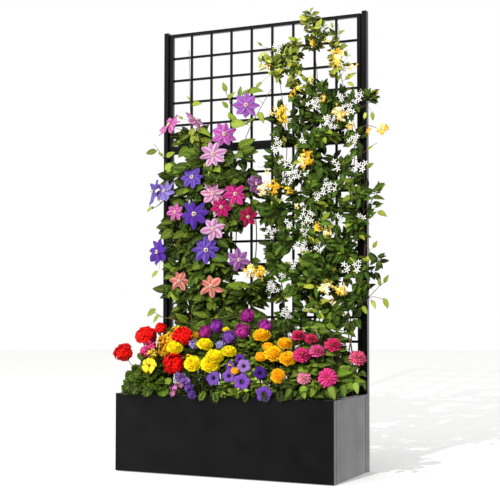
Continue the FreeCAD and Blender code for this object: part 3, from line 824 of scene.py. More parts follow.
def addStamens(head, tips, heart):
    layer = clematisHearts.verts.layers.float_color["main"]
    for i in range(30):
        angle = i * 2.4
        lean = 0.2 + 0.8 * (i / 30)
        way = Vector((math.cos(angle) * lean, math.sin(angle) * lean, 1 - 0.5 * lean)).normalized()
        thread = (head @ Matrix.Translation(way * 0.09)
                  @ way.to_track_quat("Z", "Y").to_matrix().to_4x4())
        made = bmesh.ops.create_cone(clematisHearts, cap_ends=True, segments=4, radius1=0.01,
                                     radius2=0.036, depth=0.17, matrix=thread)["verts"]
        for vert in made:
            vert[layer] = tips if i > 5 else heart


vines = {
    "stems": (
        (((350, 372), (347, 352), (353, 338), (346, 322), (340, 295), (347, 262), (351, 228),
          (349, 190), (356, 160), (352, 120), (344, 88), (337, 62), (340, 34), (338, 24)),
         (0.1, 0.12, 0.13, 0.15, 0.172, 0.2, 0.172, 0.2, 0.172, 0.17, 0.172, 0.17, 0.172, 0.17)),
        (((352, 372), (354, 350), (347, 336), (352, 320), (345, 305), (332, 270), (320, 230),
          (323, 190), (318, 150), (316, 110), (318, 75), (314, 50), (320, 32), (310, 18)),
         (0.1, 0.13, 0.13, 0.15, 0.172, 0.2, 0.172, 0.17, 0.2, 0.172, 0.172, 0.17, 0.165, 0.155)),
        (((292, 350), (286, 318), (282, 285), (276, 250), (275, 215), (284, 180), (288, 145),
          (284, 112), (280, 82), (275, 60), (268, 48)),
         (0.1, 0.13, 0.172, 0.2, 0.172, 0.17, 0.2, 0.172, 0.17, 0.17, 0.165)),
        (((305, 350), (308, 318), (304, 280), (300, 245), (298, 210), (303, 178), (300, 140),
          (303, 112), (296, 84), (286, 60), (290, 42)),
         (0.1, 0.14, 0.172, 0.2, 0.172, 0.17, 0.2, 0.172, 0.17, 0.17, 0.165)),
        (((352, 300), (362, 275), (366, 245), (362, 215), (366, 185), (360, 150), (354, 120),
          (344, 100)), (0.172, 0.16, 0.165, 0.15, 0.15, 0.165, 0.17, 0.17)),
        (((366, 245), (372, 255), (378, 262), (382, 258)), (0.15, 0.14, 0.13, 0.13)),
        (((366, 300), (374, 292), (380, 285), (388, 280)), (0.15, 0.14, 0.13, 0.13)),
        (((352, 312), (366, 300), (374, 295), (384, 300)), (0.15, 0.15, 0.14, 0.14)),
        (((362, 215), (368, 205), (375, 197), (380, 190)), (0.15, 0.14, 0.13, 0.13)),
        (((356, 160), (364, 152), (371, 146), (377, 143)), (0.15, 0.14, 0.13, 0.13)),
        (((356, 110), (366, 106), (374, 97), (378, 93)), (0.16, 0.14, 0.13, 0.13)),
        (((360, 128), (368, 124), (376, 128), (382, 130)), (0.16, 0.14, 0.13, 0.13)),
    ),
    "patches": (
        (305, 200, 32, 42, 60), (338, 195, 22, 42, 42), (300, 275, 30, 38, 52),
        (336, 275, 24, 40, 42), (290, 325, 22, 12, 12), (322, 322, 22, 14, 15), (348, 312, 12, 16, 8),
        (318, 135, 26, 20, 32), (300, 100, 14, 14, 9), (322, 100, 16, 12, 11), (284, 68, 12, 16, 15),
        (294, 54, 11, 10, 10), (341, 68, 8, 18, 11), (316, 40, 12, 10, 12), (268, 66, 10, 5, 5),
        (300, 80, 12, 12, 9), (338, 44, 6, 9, 3), (312, 24, 4, 7, 3),
        (278, 150, 12, 20, 12), (360, 210, 6, 30, 9), (360, 285, 6, 26, 8), (350, 105, 8, 12, 5),
        (275, 225, 12, 26, 14), (268, 290, 8, 20, 6), (340, 112, 12, 12, 7), (353, 140, 8, 16, 6),
        (283, 118, 10, 9, 4), (376, 205, 4, 12, 2), (376, 268, 4, 18, 3), (318, 240, 32, 28, 22),
        (368, 102, 6, 6, 3),
    ),
    "loneLeaves": (
        ((310, 22), (306, 15)), ((310, 20), (312, 14)), ((316, 28), (319, 20)), ((314, 28), (304, 26)),
        ((333, 28), (331, 22)), ((338, 34), (344, 30)), ((336, 36), (329, 34)), ((340, 48), (345, 43)),
        ((345, 80), (355, 72)), ((348, 82), (354, 86)), ((374, 96), (379, 89)), ((375, 98), (380, 97)),
        ((366, 112), (364, 119)), ((372, 112), (373, 120)), ((367, 150), (372, 146)),
        ((366, 168), (373, 163)), ((378, 192), (383, 186)), ((380, 188), (385, 184)),
        ((372, 197), (384, 198)), ((378, 186), (379, 181)), ((376, 208), (381, 205)),
        ((384, 298), (388, 308)), ((380, 286), (379, 278)), ((384, 283), (388, 275)),
        ((370, 288), (366, 281)), ((371, 300), (376, 308)), ((366, 256), (374, 262)),
        ((373, 248), (377, 241)), ((362, 305), (367, 314)), ((360, 262), (371, 258)),
        ((262, 46), (258, 42)), ((266, 52), (258, 57)), ((268, 68), (258, 70)), ((262, 82), (255, 88)),
        ((272, 56), (264, 62)), ((282, 74), (276, 80)),
    ),
    "groundLine": 350, "topLine": 85, "mainStem": 3.0, "sideStem": 1.4, "stemTip": 0.9,
    "loneFoot": 0.14, "loneTip": 0.13, "loneBend": 0.005, "loneWidth": 1.0,
    "honeysuckleLeaf": 44, "jasmineLeaf": 42, "highLeaf": 0.72,  # millimetres, and share near the top
    "honeysuckleGreens": ("#3E5A12", "#324C0C", "#4C6C1A", "#2A4208"),
    "jasmineGreens": ("#2C460C", "#223A08", "#385612", "#46681A"),
    # pale yellow-green leaves: young growth, and painted highlight for leaves that catch the light
    "sunlitYoungGreens": ("#9CA434", "#8A962A", "#B2B84A", "#6E8220"),
}

honeysuckleClusters = (
    # picture place, radius in pixels, trumpets, shade, depth
    (282, 115, 10, 13, "amber", 0.085), (274, 113, 6, 6, "cream", 0.10), (337, 113, 9, 10, "cream", 0.085),
    (339, 59, 10, 12, "cream", 0.10), (381, 129, 8, 8, "amber", 0.11), (367, 130, 5, 4, "amber", 0.10),
    (305, 159, 10, 13, "amber", 0.085), (262, 189, 9, 10, "cream", 0.075), (273, 186, 8, 8, "amber", 0.08),
    (287, 191, 6, 5, "amber", 0.085), (318, 228, 7, 7, "amber", 0.085), (328, 232, 6, 5, "cream", 0.085),
    (250, 270, 9, 10, "cream", 0.075), (260, 271, 9, 9, "amber", 0.08), (325, 290, 10, 11, "cream", 0.08),
    (339, 291, 9, 10, "amber", 0.08), (324, 99, 6, 5, "amber", 0.095), (309, 43, 6, 5, "amber", 0.11),
    (327, 40, 5, 4, "amber", 0.11), (291, 92, 6, 5, "amber", 0.10), (268, 68, 6, 4, "cream", 0.12),
    (352, 66, 6, 5, "cream", 0.11), (350, 126, 5, 5, "amber", 0.09), (343, 116, 7, 7, "cream", 0.085),
    (310, 80, 6, 5, "green", 0.105), (332, 302, 5, 5, "cream", 0.085), (300, 88, 6, 4, "green", 0.105),
    (266, 172, 5, 5, "cream", 0.085), (296, 206, 5, 4, "cream", 0.085), (335, 52, 6, 6, "amber", 0.105),
)
honeysuckleShades = {
    "amber": ("#FFD22A", "#FFB818", "#FFE878", "#FFC620"),
    "cream": ("#FFF6C4", "#FFEE96", "#FFFADC", "#FFE25A"),
    "green": ("#D8DC70", "#C8D25C", "#ECE68C"),
}

jasmineClusters = (
    # picture place, radius in pixels, stars, depth
    (314, 103, 8, 8, 0.08), (359, 95, 6, 5, 0.095), (278, 146, 9, 10, 0.08), (354, 139, 7, 7, 0.085),
    (286, 161, 7, 7, 0.085), (362, 166, 7, 7, 0.085), (294, 173, 9, 10, 0.08), (328, 187, 10, 12, 0.075),
    (336, 164, 5, 4, 0.09), (306, 217, 10, 12, 0.075), (339, 218, 5, 4, 0.085), (362, 217, 5, 3, 0.095),
    (301, 246, 8, 8, 0.08), (346, 267, 6, 4, 0.08), (357, 266, 6, 6, 0.085), (272, 288, 7, 9, 0.08),
    (286, 314, 7, 9, 0.08), (271, 233, 7, 7, 0.085), (293, 264, 6, 6, 0.085), (277, 48, 6, 6, 0.105),
    (348, 108, 7, 8, 0.085), (330, 124, 7, 8, 0.085), (317, 196, 6, 5, 0.085), (305, 231, 5, 4, 0.085),
    (326, 119, 5, 5, 0.08), (303, 142, 4, 2, 0.09), (259, 168, 5, 3, 0.095), (345, 72, 5, 4, 0.11),
    (288, 223, 5, 4, 0.085), (318, 250, 5, 3, 0.085), (283, 276, 5, 4, 0.085), (341, 97, 5, 4, 0.09),
)

honeysuckleLeaves, jasmineLeaves, trumpets, stars = (startMesh() for _ in range(4))
vineShoots = startStems("honeysuckleShoots", 0)


def growVine(species, mesh, shape, shoots, knots, target, high):
    start = nearest(knots, target)
    if (target - start).length < 0.02:
        target = target + Vector((0, -0.03, 0.02))
    path = arc(start, target, wobble(0.012))
    spots = pointsAlong(path, 0.03)
    way = (target - start).normalized()
    side = way.cross(Vector((0, 1, 0))).normalized()
    share = vines["highLeaf"] if high else 1
    leafy = False
    for i, spot in enumerate(spots[1:]):
        near = i / len(spots)
        for s in (-1, 1):
            out = (side * s + way * (0.35 + 0.5 * near) + wobble(0.45) + Vector((0, -0.3, -0.1)))
            normal = leafNormal(spot.y, 0.6)
            length = vines[species + "Leaf"] * random.uniform(0.6, 1.2) * share
            if not leafFits(spot, out, length, 0.2, 0.6, 1):
                continue
            # near the top most leaves are pale: young growth, and painted highlight on the sunlit top of
            # the plant
            litYoungLeaf = random.random() < (0.7 if high else 0.12)
            addLeaf(mesh, shape, spot + out.normalized() * 0.002, out, normal, length,
                    vines["sunlitYoungGreens" if litYoungLeaf else species + "Greens"],
                    paintedDepthShade(spot.y, 1.15, 0.2), random.uniform(0.9, 1.2))
            leafy = True
    if leafy:
        drawStem(shoots, path, 0.9, 0.5)
        knots.extend(spots[1:-1])


def addTrumpets(u, v, radius, count, shade, depth):
    point = fromPicture(u, v, depth)
    size = radius * pixelAt(point)
    centre = point + Vector((0, size * 0.35, 0))
    toEye = facing(point, 0, 0)
    for i in range(count):
        way = (toEye * 0.7 + Vector((0, 0, 0.2)) + wobble(1.0)).normalized()
        if way.dot(toEye) < 0:
            way = way - 2 * way.dot(toEye) * toEye
        colour = paint(random.choice(honeysuckleShades[shade]))
        addCopy(trumpets, trumpetFlowerShape,
                aimed(centre, way, random.uniform(0, 2 * math.pi), size * random.uniform(0.85, 1.2)),
                colour, paint("#F8CC48"))
    keepClear(u, v, radius * 0.8, point)
    return centre


def addStars(u, v, radius, count, depth):
    point = fromPicture(u, v, depth)
    size = radius * pixelAt(point)
    centre = point + Vector((0, size * 0.6, 0))
    flat = facing(point, 0, 10).to_track_quat("Z", "Y")
    count = round(count * 0.75)
    for i in range(count):
        turn, reach = i * goldenAngle, 0.85 * size * math.sqrt((i + 0.3) / count)
        mouth = point + flat @ Vector((math.cos(turn) * reach, math.sin(turn) * reach, 0)) + wobble(0.004)
        way = (facing(point, 0, 12) + (mouth - centre).normalized() * 0.6 + wobble(0.35)).normalized()
        head = aimed(mouth, way, random.uniform(0, 2), random.uniform(0.0118, 0.0148))
        addFivePetals(stars, starPetalShape, head, tinted(paint("#FFFEF8"), random.uniform(0.94, 1.0)),
                      paint("#EFE8B8"))
        drawStem(vineShoots, [centre, centre.lerp(mouth, 0.5), mouth], 0.5, 0.7)
    keepClear(u, v, radius * 0.75, point)
    return centre


hangers = []  # where the stalk of each flower must reach, and from which plant
for bloom in clematisBlooms:
    hangers.append(("clematis", makeClematisBloom(*bloom)))
for cluster in honeysuckleClusters:
    hangers.append(("vine", addTrumpets(*cluster)))
for cluster in jasmineClusters:
    hangers.append(("vine", addStars(*cluster)))

def growMainStems(plant):
    knots = []
    for points, depths in plant["stems"]:
        path = stemPath(points, depths)
        rooted = points[0][1] >= plant["groundLine"]
        if rooted:
            path[0].z = soilHigh.z - 0.01
        drawStem(vineStems, path, plant["mainStem"] if rooted else plant["sideStem"], plant["stemTip"])
        knots += pointsAlong(path, 0.02)
    return knots


def growLoneLeaves(plant, mesh, shape, shoots, knots):
    for foot, tip in plant["loneLeaves"]:
        base, end = fromPicture(*foot, plant["loneFoot"]), fromPicture(*tip, plant["loneTip"])
        drawStem(shoots, arc(nearest(knots, base), base, wobble(plant["loneBend"])), 0.8, 0.5)
        # lone leaves are all pale: young growth, and painted highlight
        addLeaf(mesh, shape, base, end - base, leafNormal(0, 0.5), (end - base).length / millimetre,
                plant["sunlitYoungGreens"], 0.95, plant["loneWidth"])


climberKnots = growMainStems(clematis)
for patch in clematis["patches"]:
    for _ in range(patch[4]):
        growClematis(clematisLeaves, clematisShoots, climberKnots, insidePatch(patch, 0.095, 0.192))
growLoneLeaves(clematis, clematisLeaves, clematisLeafShape, clematisShoots, climberKnots)

vineKnots = growMainStems(vines)
for patch in vines["patches"]:
    high = patch[1] < vines["topLine"]
    for i in range(patch[4]):
        species, mesh, shape = (("honeysuckle", honeysuckleLeaves, honeysuckleLeafShape)
                                if high or i % 2 else ("jasmine", jasmineLeaves, jasmineLeafShape))
        growVine(species, mesh, shape, vineShoots, vineKnots, insidePatch(patch, 0.09, 0.192), high)
growLoneLeaves(vines, honeysuckleLeaves, honeysuckleLeafShape, vineShoots, vineKnots)
for plant, back in hangers:
    if plant == "clematis":
        knot = nearest(climberKnots, back + Vector((0, 0.05, -0.03)))
        drawStem(clematisShoots, [knot, knot.lerp(back, 0.5) + Vector((0, 0.012, -0.012)), back], 1.1, 0.9)
    else:
        drawStem(vineShoots, arc(nearest(vineKnots, back), back, wobble(0.005)), 0.9, 0.8)
print("climbers grown:", len(clematisLeaves.faces), len(honeysuckleLeaves.faces),
      len(jasmineLeaves.faces), "leaf faces")

place(clematisLeaves, "clematisLeaves", clematisLeaf, "climber_leaves", "clematis")
place(clematisPetals, "clematisFlowers", clematisPetal, "clematis_petals")
place(clematisHearts, "clematisStamens", pollen, "clematis_petals")
place(honeysuckleLeaves, "honeysuckleLeaves", honeysuckleLeaf, "climber_leaves",
      "honeysuckle_and_jasmine")
place(jasmineLeaves, "jasmineLeaves", jasmineLeaf, "climber_leaves", "honeysuckle_and_jasmine")
place(trumpets, "honeysuckleFlowers", trumpetPetal, "honeysuckle_petals")
place(stars, "jasmineFlowers", starPetal, "jasmine_petals")
placeStems(vineStems, paint("#6A4A2C"), brownStem, "woody_stems", "climber_stems")
placeStems(clematisShoots, paint("#66702E"), greenStem, "woody_stems")
placeStems(vineShoots, paint("#6A6E2C"), greenStem, "woody_stems")


# Bedding plants

mound = {
    # metres: height and place of the crest, where the front and back slopes begin, how far they reach
    "crest": 0.60, "crestX": 0.04, "leftFall": 1.65, "rightFall": 1.1,
    "frontFrom": -0.03, "frontReach": 0.185, "backFrom": 0.03, "backReach": 0.12, "overRim": 0.012,
}


def canopy(x, y):  # height of the top of the bedding plants
    off = x - mound["crestX"]
    crest = mound["crest"] - (mound["leftFall"] if off < 0 else mound["rightFall"]) * abs(off) ** 3
    forward = max(0, mound["frontFrom"] - y) / mound["frontReach"]
    behind = max(0, y - mound["backFrom"]) / mound["backReach"]
    share = max(0.0, 1 - min(1, forward) ** 2.0) * max(0.5, 1 - 0.5 * behind ** 2)
    return rimHeight + mound["overRim"] + (crest - rimHeight) * share


def onCanopy(u, v, lift=0.0):  # where the line of sight meets the plants
    depth = frontFace - 0.022
    while depth < 0.05:
        point = fromPicture(u, v, depth)
        if point.z < canopy(point.x, point.y) + lift:
            return point
        depth += 0.004
    return fromPicture(u, v, -0.04)


def rootOf(point, reach):  # where the stem of a bloom comes out of the soil
    x = max(soilLow.x + 0.03, min(soilHigh.x - 0.03, point.x + random.uniform(-reach, reach)))
    y = max(soilLow.y + 0.02, min(0.08, point.y + random.uniform(0, reach)))
    return Vector((x, y, soilHigh.z - 0.012))


beddingStems = startStems("beddingStems", 0)


def raiseStem(point, way, reach=0.03, thick=1.6, thin=1.2):
    root = rootOf(point, reach)
    bend = Vector((0.5 * (root.x + point.x), 0.5 * (root.y + point.y), root.z + 0.5 * (point.z - root.z)))
    bend.z = max(bend.z, rimHeight + 0.004) if point.y < soilLow.y + 0.01 else bend.z
    drawStem(beddingStems, [root, bend + wobble(0.006), point - way * 0.03, point], thick, thin)


def growBedding(mesh, node, shape, palette, count, length, leafCount, spread, keepAfter=-1.0):
    # Shoots from the soil to the canopy, with leaves by the golden angle from the rim upwards
    lowCorner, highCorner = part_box(node)
    for _ in range(count):
        x = random.uniform(max(lowCorner.x + 0.02, keepAfter), min(highCorner.x - 0.02, boxHalf - 0.05))
        y = random.uniform(max(lowCorner.y, frontFace - 0.012), min(highCorner.y, 0.07))
        tip = Vector((x, y, rimHeight + (canopy(x, y) - rimHeight) * random.uniform(0.45, 0.97)))
        tip.z = max(tip.z, rimHeight + 0.008)
        root = rootOf(tip, 0.04)
        elbow = Vector((root.x + 0.6 * (x - root.x), root.y + 0.6 * (y - root.y),
                        root.z + 0.6 * (tip.z - root.z)))
        elbow.z = max(elbow.z, rimHeight + 0.004)
        drawStem(beddingStems, [root, elbow, tip], 1.3, 0.8)
        start = random.uniform(0, 2 * math.pi)
        for i in range(leafCount):
            share = i / leafCount
            spot = tip.lerp(elbow, share ** 1.2)
            if spot.z < rimHeight + 0.004:
                break
            angle = start + i * goldenAngle
            out = Vector((math.cos(angle), math.sin(angle) - 0.3, random.uniform(-0.3, 0.5) - 0.2 * share))
            normal = (Vector((0.1, -0.75, 0.75)) + wobble(spread)).normalized()
            size = length * random.uniform(0.7, 1.1) * (0.75 + 0.25 * share)
            if not leafFits(spot, out, size, 0.25, 0.6, 1):
                continue
            # painted shade: leaves further below the top of the canopy get darker colours
            deep = max(0.0, canopy(spot.x, spot.y) - spot.z)
            light = 1.15 - 0.95 * min(1.0, deep / 0.1)
            addLeaf(mesh, shape, spot, out, normal, size, palette, light)


# Flower heads: places are in the picture; petals in rings are (petals, tilt in degrees, length, how
# far out)
zinniaRings = ((15, -10, 0.84, 0.12), (14, 6, 0.78, 0.12), (12, 22, 0.66, 0.12), (10, 40, 0.5, 0.10),
               (8, 58, 0.36, 0.08))


def layeredHead(mesh, petal, point, way, size, rings, main, accent, ragged):
    head = aimed(point, way, random.uniform(0, 1), size)
    for row, (count, tilt, length, out) in enumerate(rings):
        for i in range(count):
            angle = 2 * math.pi * (i + 0.5 * (row % 2)) / count + random.uniform(-ragged, ragged)
            lean = math.radians(tilt + random.uniform(-6, 6))
            lift = Matrix.Translation((0, out, 0.16 * math.sin(lean) + 0.02 * row))
            matrix = (Matrix.Rotation(angle, 4, "Z") @ lift @ Matrix.Rotation(lean, 4, "X")
                      @ Matrix.Scale(length * random.uniform(0.92, 1.08), 4))
            addCopy(mesh, petal, head @ matrix, tinted(main, random.uniform(0.9, 1.1)), accent)


def pompomHead(mesh, point, way, size, main, accent, petals=84):
    # A double marigold: ruffled petals by the golden angle over a low dome, with a solid middle
    head = aimed(point, way, random.uniform(0, 1), size)
    addCopy(mesh, ball, head @ Matrix.Diagonal((0.68, 0.68, 0.34, 1)), tinted(accent, 0.9))
    for i in range(petals):
        turn = i * goldenAngle
        rise = 1 - 1.2 * (i + 0.5) / petals
        flat = math.sqrt(max(0.0, 1 - rise * rise))
        out = Vector((math.cos(turn) * flat, math.sin(turn) * flat, rise))
        inward = Vector((-math.cos(turn) * rise, -math.sin(turn) * rise, flat)) + wobble(0.24)
        base = Vector((out.x * 0.5, out.y * 0.5, out.z * 0.2))
        along = Vector((out.x, out.y, out.z * 0.75)) + wobble(0.12)
        petal = leafPlace(base, along, inward, random.uniform(0.41, 0.52), 1.1)
        addCopy(mesh, marigoldPetalShape, head @ petal, tinted(main, random.uniform(0.9, 1.15)), accent)


def floretHead(mesh, point, way, size, count, floret, main, accent, dome=0.75, coreShade=0.7, tall=1.0):
    # A rounded head of five-petalled florets that look outwards from its middle
    frame = way.to_track_quat("Z", "Y")
    # the solid middle is the head's colour darkened by coreShade: painted shade in the gaps between the
    # florets
    addCopy(mesh, ball, aimed(point, way, 0, size * 0.62) @ Matrix.Diagonal((1, 1, tall, 1)),
            tinted(main, coreShade))
    for i in range(count):
        turn = i * goldenAngle
        rise = 1 - (i + 0.5) / count * (1 + dome * 0.35)
        flat = math.sqrt(max(0.0, 1 - rise * rise))
        out = frame @ Vector((math.cos(turn) * flat, math.sin(turn) * flat, rise * tall))
        spot = point + out * size * random.uniform(0.66, 0.84)
        head = aimed(spot, (out + wobble(0.3)).normalized(), random.uniform(0, 2), floret)
        addFivePetals(mesh, floretPetalShape, head, tinted(main, random.uniform(0.8, 1.2)), accent)


geraniumHeads = (
    # picture place, radius in pixels, florets, colour, turned right, raised
    (146, 336, 12, 28, "#FF0E06", -10, 60), (183, 336, 11, 26, "#FF0A04", 5, 55),
    (123, 353, 10.5, 20, "#FA1408", -35, 40), (174, 364, 12, 26, "#FF0A04", 0, 25),
    (161, 328, 5, 8, "#FF140A", 0, 55), (150, 347, 6, 8, "#E2407E", -10, 20),
    (146, 352, 5, 5, "#E2407E", -20, 10), (169, 338, 5, 6, "#F6BC1C", 0, 40),
    (176, 331, 4, 4, "#F4D02A", 0, 40), (165, 349, 7, 10, "#F4AC18", 0, 30),
    (163, 342, 6, 8, "#F2AA16", 0, 40), (195, 336, 3, 3, "#F6C420", 0, 30),
    (188, 359, 4, 4, "#F2C830", 0, 25), (152, 354, 4, 4, "#ECC840", -10, 20),
)
phloxHeads = (
    (247, 316, 8.5, 34, "#BC2EA0", 0, 30), (217, 326, 8, 32, "#9032A4", 0, 35),
    (205, 332, 7, 26, "#BC2E92", -10, 30), (242, 331, 9, 36, "#C6309E", 5, 25),
    (265, 326, 8, 26, "#B02CA0", 10, 35), (229, 337, 8, 32, "#804AAE", 0, 30),
    (194, 344, 5, 12, "#AE9ACE", 0, 30), (220, 345, 5, 10, "#AEA6E2", 0, 30),
    (182, 379, 5, 12, "#8E68BC", 0, 30), (174, 388, 4, 6, "#D47CB4", -10, 20),
    (189, 388, 5, 12, "#7048A8", 20, 10), (181, 384, 3.5, 6, "#D884B8", 0, 20),
    (178, 376, 3.5, 7, "#A07EC8", 0, 30), (192, 395, 4, 8, "#6A44A4", 20, 5),
    (187, 381, 3.5, 7, "#9A70C0", 0, 30), (172, 394, 3, 4, "#DA8CBC", -10, 10),
)
yellowHeads = ((205, 345, 9, 10, 58), (193, 364, 9.5, -5, 35), (215, 357, 10, 5, 58),
               (210, 365, 10, 0, 40), (229, 352, 8.5, 10, 58), (175, 348, 9, -5, 50),
               (226, 330, 4, 0, 60))
orangeHeads = ((262, 336, 10, "#FFCA0C", 0, 60), (285, 344, 8.5, "#FFC20A", 5, 58),
               (274, 354, 10.5, "#FFC80C", 0, 48), (268, 347, 6.5, "#FFBA08", 0, 58),
               (261, 357, 6.5, "#FFB208", -10, 45), (288, 359, 9.5, "#FFC00A", 5, 48),
               (278, 376, 8, "#FFBA0A", 0, 15), (235, 371, 4.5, "#FFB820", 0, 40),
               (231, 364, 3, "#F6C82A", 0, 40))
zinniaHeads = ((299, 336, 9, "#D42A60", 0, 68), (311, 339, 8, "#D42C5E", 5, 66),
               (317, 351, 9, "#E65492", 0, 56), (302, 355, 10, "#E2327A", -5, 48),
               (333, 345, 9.5, "#DE306C", 0, 55), (358, 358, 9.5, "#E85C84", 15, 45),
               (328, 378, 10.5, "#EE408C", 0, 8), (304, 378, 8, "#EE8EA6", -15, 25))
petuniaHeads = ((213, 378, 7.8, "#7450C0", -25, 10), (229, 376, 6.8, "#8458CC", -5, 10),
                (242, 382, 8.8, "#8454D0", 0, 5), (244, 366, 7.2, "#A07CD8", 0, 15),
                (240, 359, 5.8, "#60349E", -10, 20), (230, 366, 5.5, "#704AB8", -40, 10),
                (260, 373, 7, "#481C92", 0, 5), (264, 394, 8.2, "#7644C8", 0, 0))

geraniumFlowers, phloxFlowers = startMesh(), startMesh()
for heads, mesh, floret in ((geraniumHeads, geraniumFlowers, 18), (phloxHeads, phloxFlowers, 9.5)):
    for u, v, radius, count, colour, turn, lift in heads:
        point = onCanopy(u, v)
        way = facing(point, turn, lift)
        size = radius * pixelAt(point)
        raiseStem(point - way * size * 0.4, way)
        floretHead(mesh, point, way, size, count, floret * millimetre, paint(colour),
                   tinted(paint(colour), 0.7), tall=0.62)
        keepClear(u, v, radius * 0.9, point)

yellowFlowers, orangeFlowers, zinniaFlowers, petuniaFlowers = (startMesh() for _ in range(4))
zinniaHearts = startMesh()
for u, v, radius, turn, lift in yellowHeads:
    point = onCanopy(u, v)
    way = facing(point, turn, lift)
    raiseStem(point, way)
    pompomHead(yellowFlowers, point, way, radius * pixelAt(point), paint("#FFEE0C"), paint("#F4BC00"))
    keepClear(u, v, radius * 0.9, point)
for u, v, radius, colour, turn, lift in orangeHeads:
    point = onCanopy(u, v)
    way = facing(point, turn, lift)
    raiseStem(point, way)
    pompomHead(orangeFlowers, point, way, radius * pixelAt(point), paint(colour), paint("#FFAA00"),
               84 if radius > 7 else 40)
    keepClear(u, v, radius * 0.9, point)
for u, v, radius, colour, turn, lift in zinniaHeads:
    point = onCanopy(u, v, 0.01)
    way = facing(point, turn, lift)
    size = radius * pixelAt(point)
    raiseStem(point, way, 0.03, 2.0, 1.6)
    layeredHead(zinniaFlowers, zinniaPetalShape, point, way, size, zinniaRings, paint(colour),
                tinted(paint(colour), 0.62), 0.08)
    floretHead(zinniaHearts, point + way * size * 0.1, way, size * 0.22, 12, 0.07 * size,
               paint("#EEB42C"), paint("#B85420"), 0.2)
    keepClear(u, v, radius * 0.9, point)
for u, v, radius, colour, turn, lift in petuniaHeads:
    point = onCanopy(u, v, 0.005)
    way = facing(point, turn, lift)
    size = radius * pixelAt(point)
    raiseStem(point - way * size * 0.6, way)
    purple = tinted(paint(colour), 0.6, 0.12)
    addCopy(petuniaFlowers, petuniaShape, aimed(point, way, random.uniform(0, 1), size), purple,
            tinted(purple, 0.15))
    keepClear(u, v, radius * 0.85, point)

pansy = {"at": (150, 366), "radius": 8.5, "turns": (90, 150, 30, 215, 325), "petal": "#F8D82A"}
point = onCanopy(*pansy["at"])
way = facing(point, -25, -5)
for i, turn in enumerate(pansy["turns"]):
    head = aimed(point + way * 0.0015 * i, (way + wobble(0.35)).normalized(), math.radians(turn - 90),
                 pansy["radius"] * pixelAt(point))
    addCopy(yellowFlowers, pansyPetalShape, head, paint(pansy["petal"]), paint("#A85A10"))
raiseStem(point, way)
keepClear(*pansy["at"], pansy["radius"] * 0.9, point)

bedding = {
    # node: leaf shape, greens, shoots, leaf length in mm, leaves on a shoot, spread, least x
    "geraniums": (scallopLeafShape, ("#4E6A12", "#3E560C", "#627C1E", "#2E4008"), 84, 46, 5, 0.7, -0.40),
    "yellow_marigolds": (featherLeafShape, ("#445A18", "#344610", "#546C1E"), 76, 46, 6, 0.7, -1.0),
    "phlox": (lanceLeafShape, ("#527018", "#446012", "#68862A", "#344C0C"), 80, 46, 7, 0.7, -1.0),
    "petunias": (softLeafShape, ("#789026", "#667E1C", "#8CA238", "#4C6412"), 100, 38, 7, 0.7, -1.0),
    "orange_marigolds": (featherLeafShape, ("#445A18", "#344610", "#566E20"), 76, 46, 6, 0.7, -1.0),
    "zinnias": (zinniaLeafShape, ("#627C22", "#4E6818", "#7E9636", "#3A4E10"), 90, 64, 7, 0.6, -1.0),
}
pieceNames = {"geraniums": "geraniumLeaves", "yellow_marigolds": "yellowMarigoldLeaves",
              "phlox": "phloxLeaves", "petunias": "petuniaLeaves",
              "orange_marigolds": "orangeMarigoldLeaves", "zinnias": "zinniaLeaves"}

spills = (
    # leaves that hang over the front rim: picture place of the foot, plant, length in mm, turn
    (139, 384, "geraniums", 46, -0.3), (149, 385, "geraniums", 50, 0.1), (131, 383, "geraniums", 40, -0.5),
    (163, 387, "geraniums", 42, 0.3), (206, 390, "yellow_marigolds", 40, -0.4),
    (214, 390, "yellow_marigolds", 44, 0.3), (222, 390, "petunias", 30, 0.0),
    (240, 391, "petunias", 32, -0.3), (234, 390, "petunias", 28, 0.5),
    (249, 391, "orange_marigolds", 40, -0.3), (262, 390, "orange_marigolds", 44, 0.4),
    (280, 389, "orange_marigolds", 42, 0.1), (292, 388, "zinnias", 44, -0.5),
    (303, 385, "zinnias", 52, 0.2), (316, 384, "zinnias", 50, -0.2), (330, 386, "zinnias", 54, 0.4),
    (344, 384, "zinnias", 50, 0.1), (355, 382, "zinnias", 44, 0.3), (364, 382, "zinnias", 30, 0.2),
)
looseShoots = (
    # single shoots at the thin ends: picture place of the tip, depth, plant, leaf length in mm
    (343, 362, -0.06, "zinnias", 62), (350, 374, -0.1, "zinnias", 60), (357, 380, -0.13, "zinnias", 52),
    (338, 370, -0.12, "zinnias", 60), (348, 383, -0.15, "zinnias", 56), (340, 352, -0.02, "zinnias", 56),
    (360, 372, -0.08, "zinnias", 46), (352, 364, -0.02, "zinnias", 50), (333, 360, -0.05, "zinnias", 60),
    (133, 374, -0.14, "geraniums", 42), (140, 366, -0.1, "geraniums", 42),
    (137, 380, -0.16, "geraniums", 44), (146, 357, -0.06, "geraniums", 40),
)


def growLooseShoot(mesh, shape, palette, tip, length):
    root = rootOf(tip, 0.02)
    elbow = root.lerp(tip, 0.5) + Vector((0, 0, 0.01))
    elbow.z = max(elbow.z, rimHeight + 0.004)
    drawStem(beddingStems, [root, elbow, tip], 1.3, 0.8)
    for i in range(7):
        spot = tip.lerp(elbow, i / 7)
        angle = 1.3 + i * goldenAngle
        out = Vector((math.cos(angle), 0.6 * math.sin(angle) - 0.3, random.uniform(-0.2, 0.5)))
        size = length * random.uniform(0.7, 1.1)
        if leafFits(spot, out, size, 0.25, 0.6, 1):
            addLeaf(mesh, shape, spot, out, Vector((0.1, -0.75, 0.7)) + wobble(0.6), size, palette, 1.1)


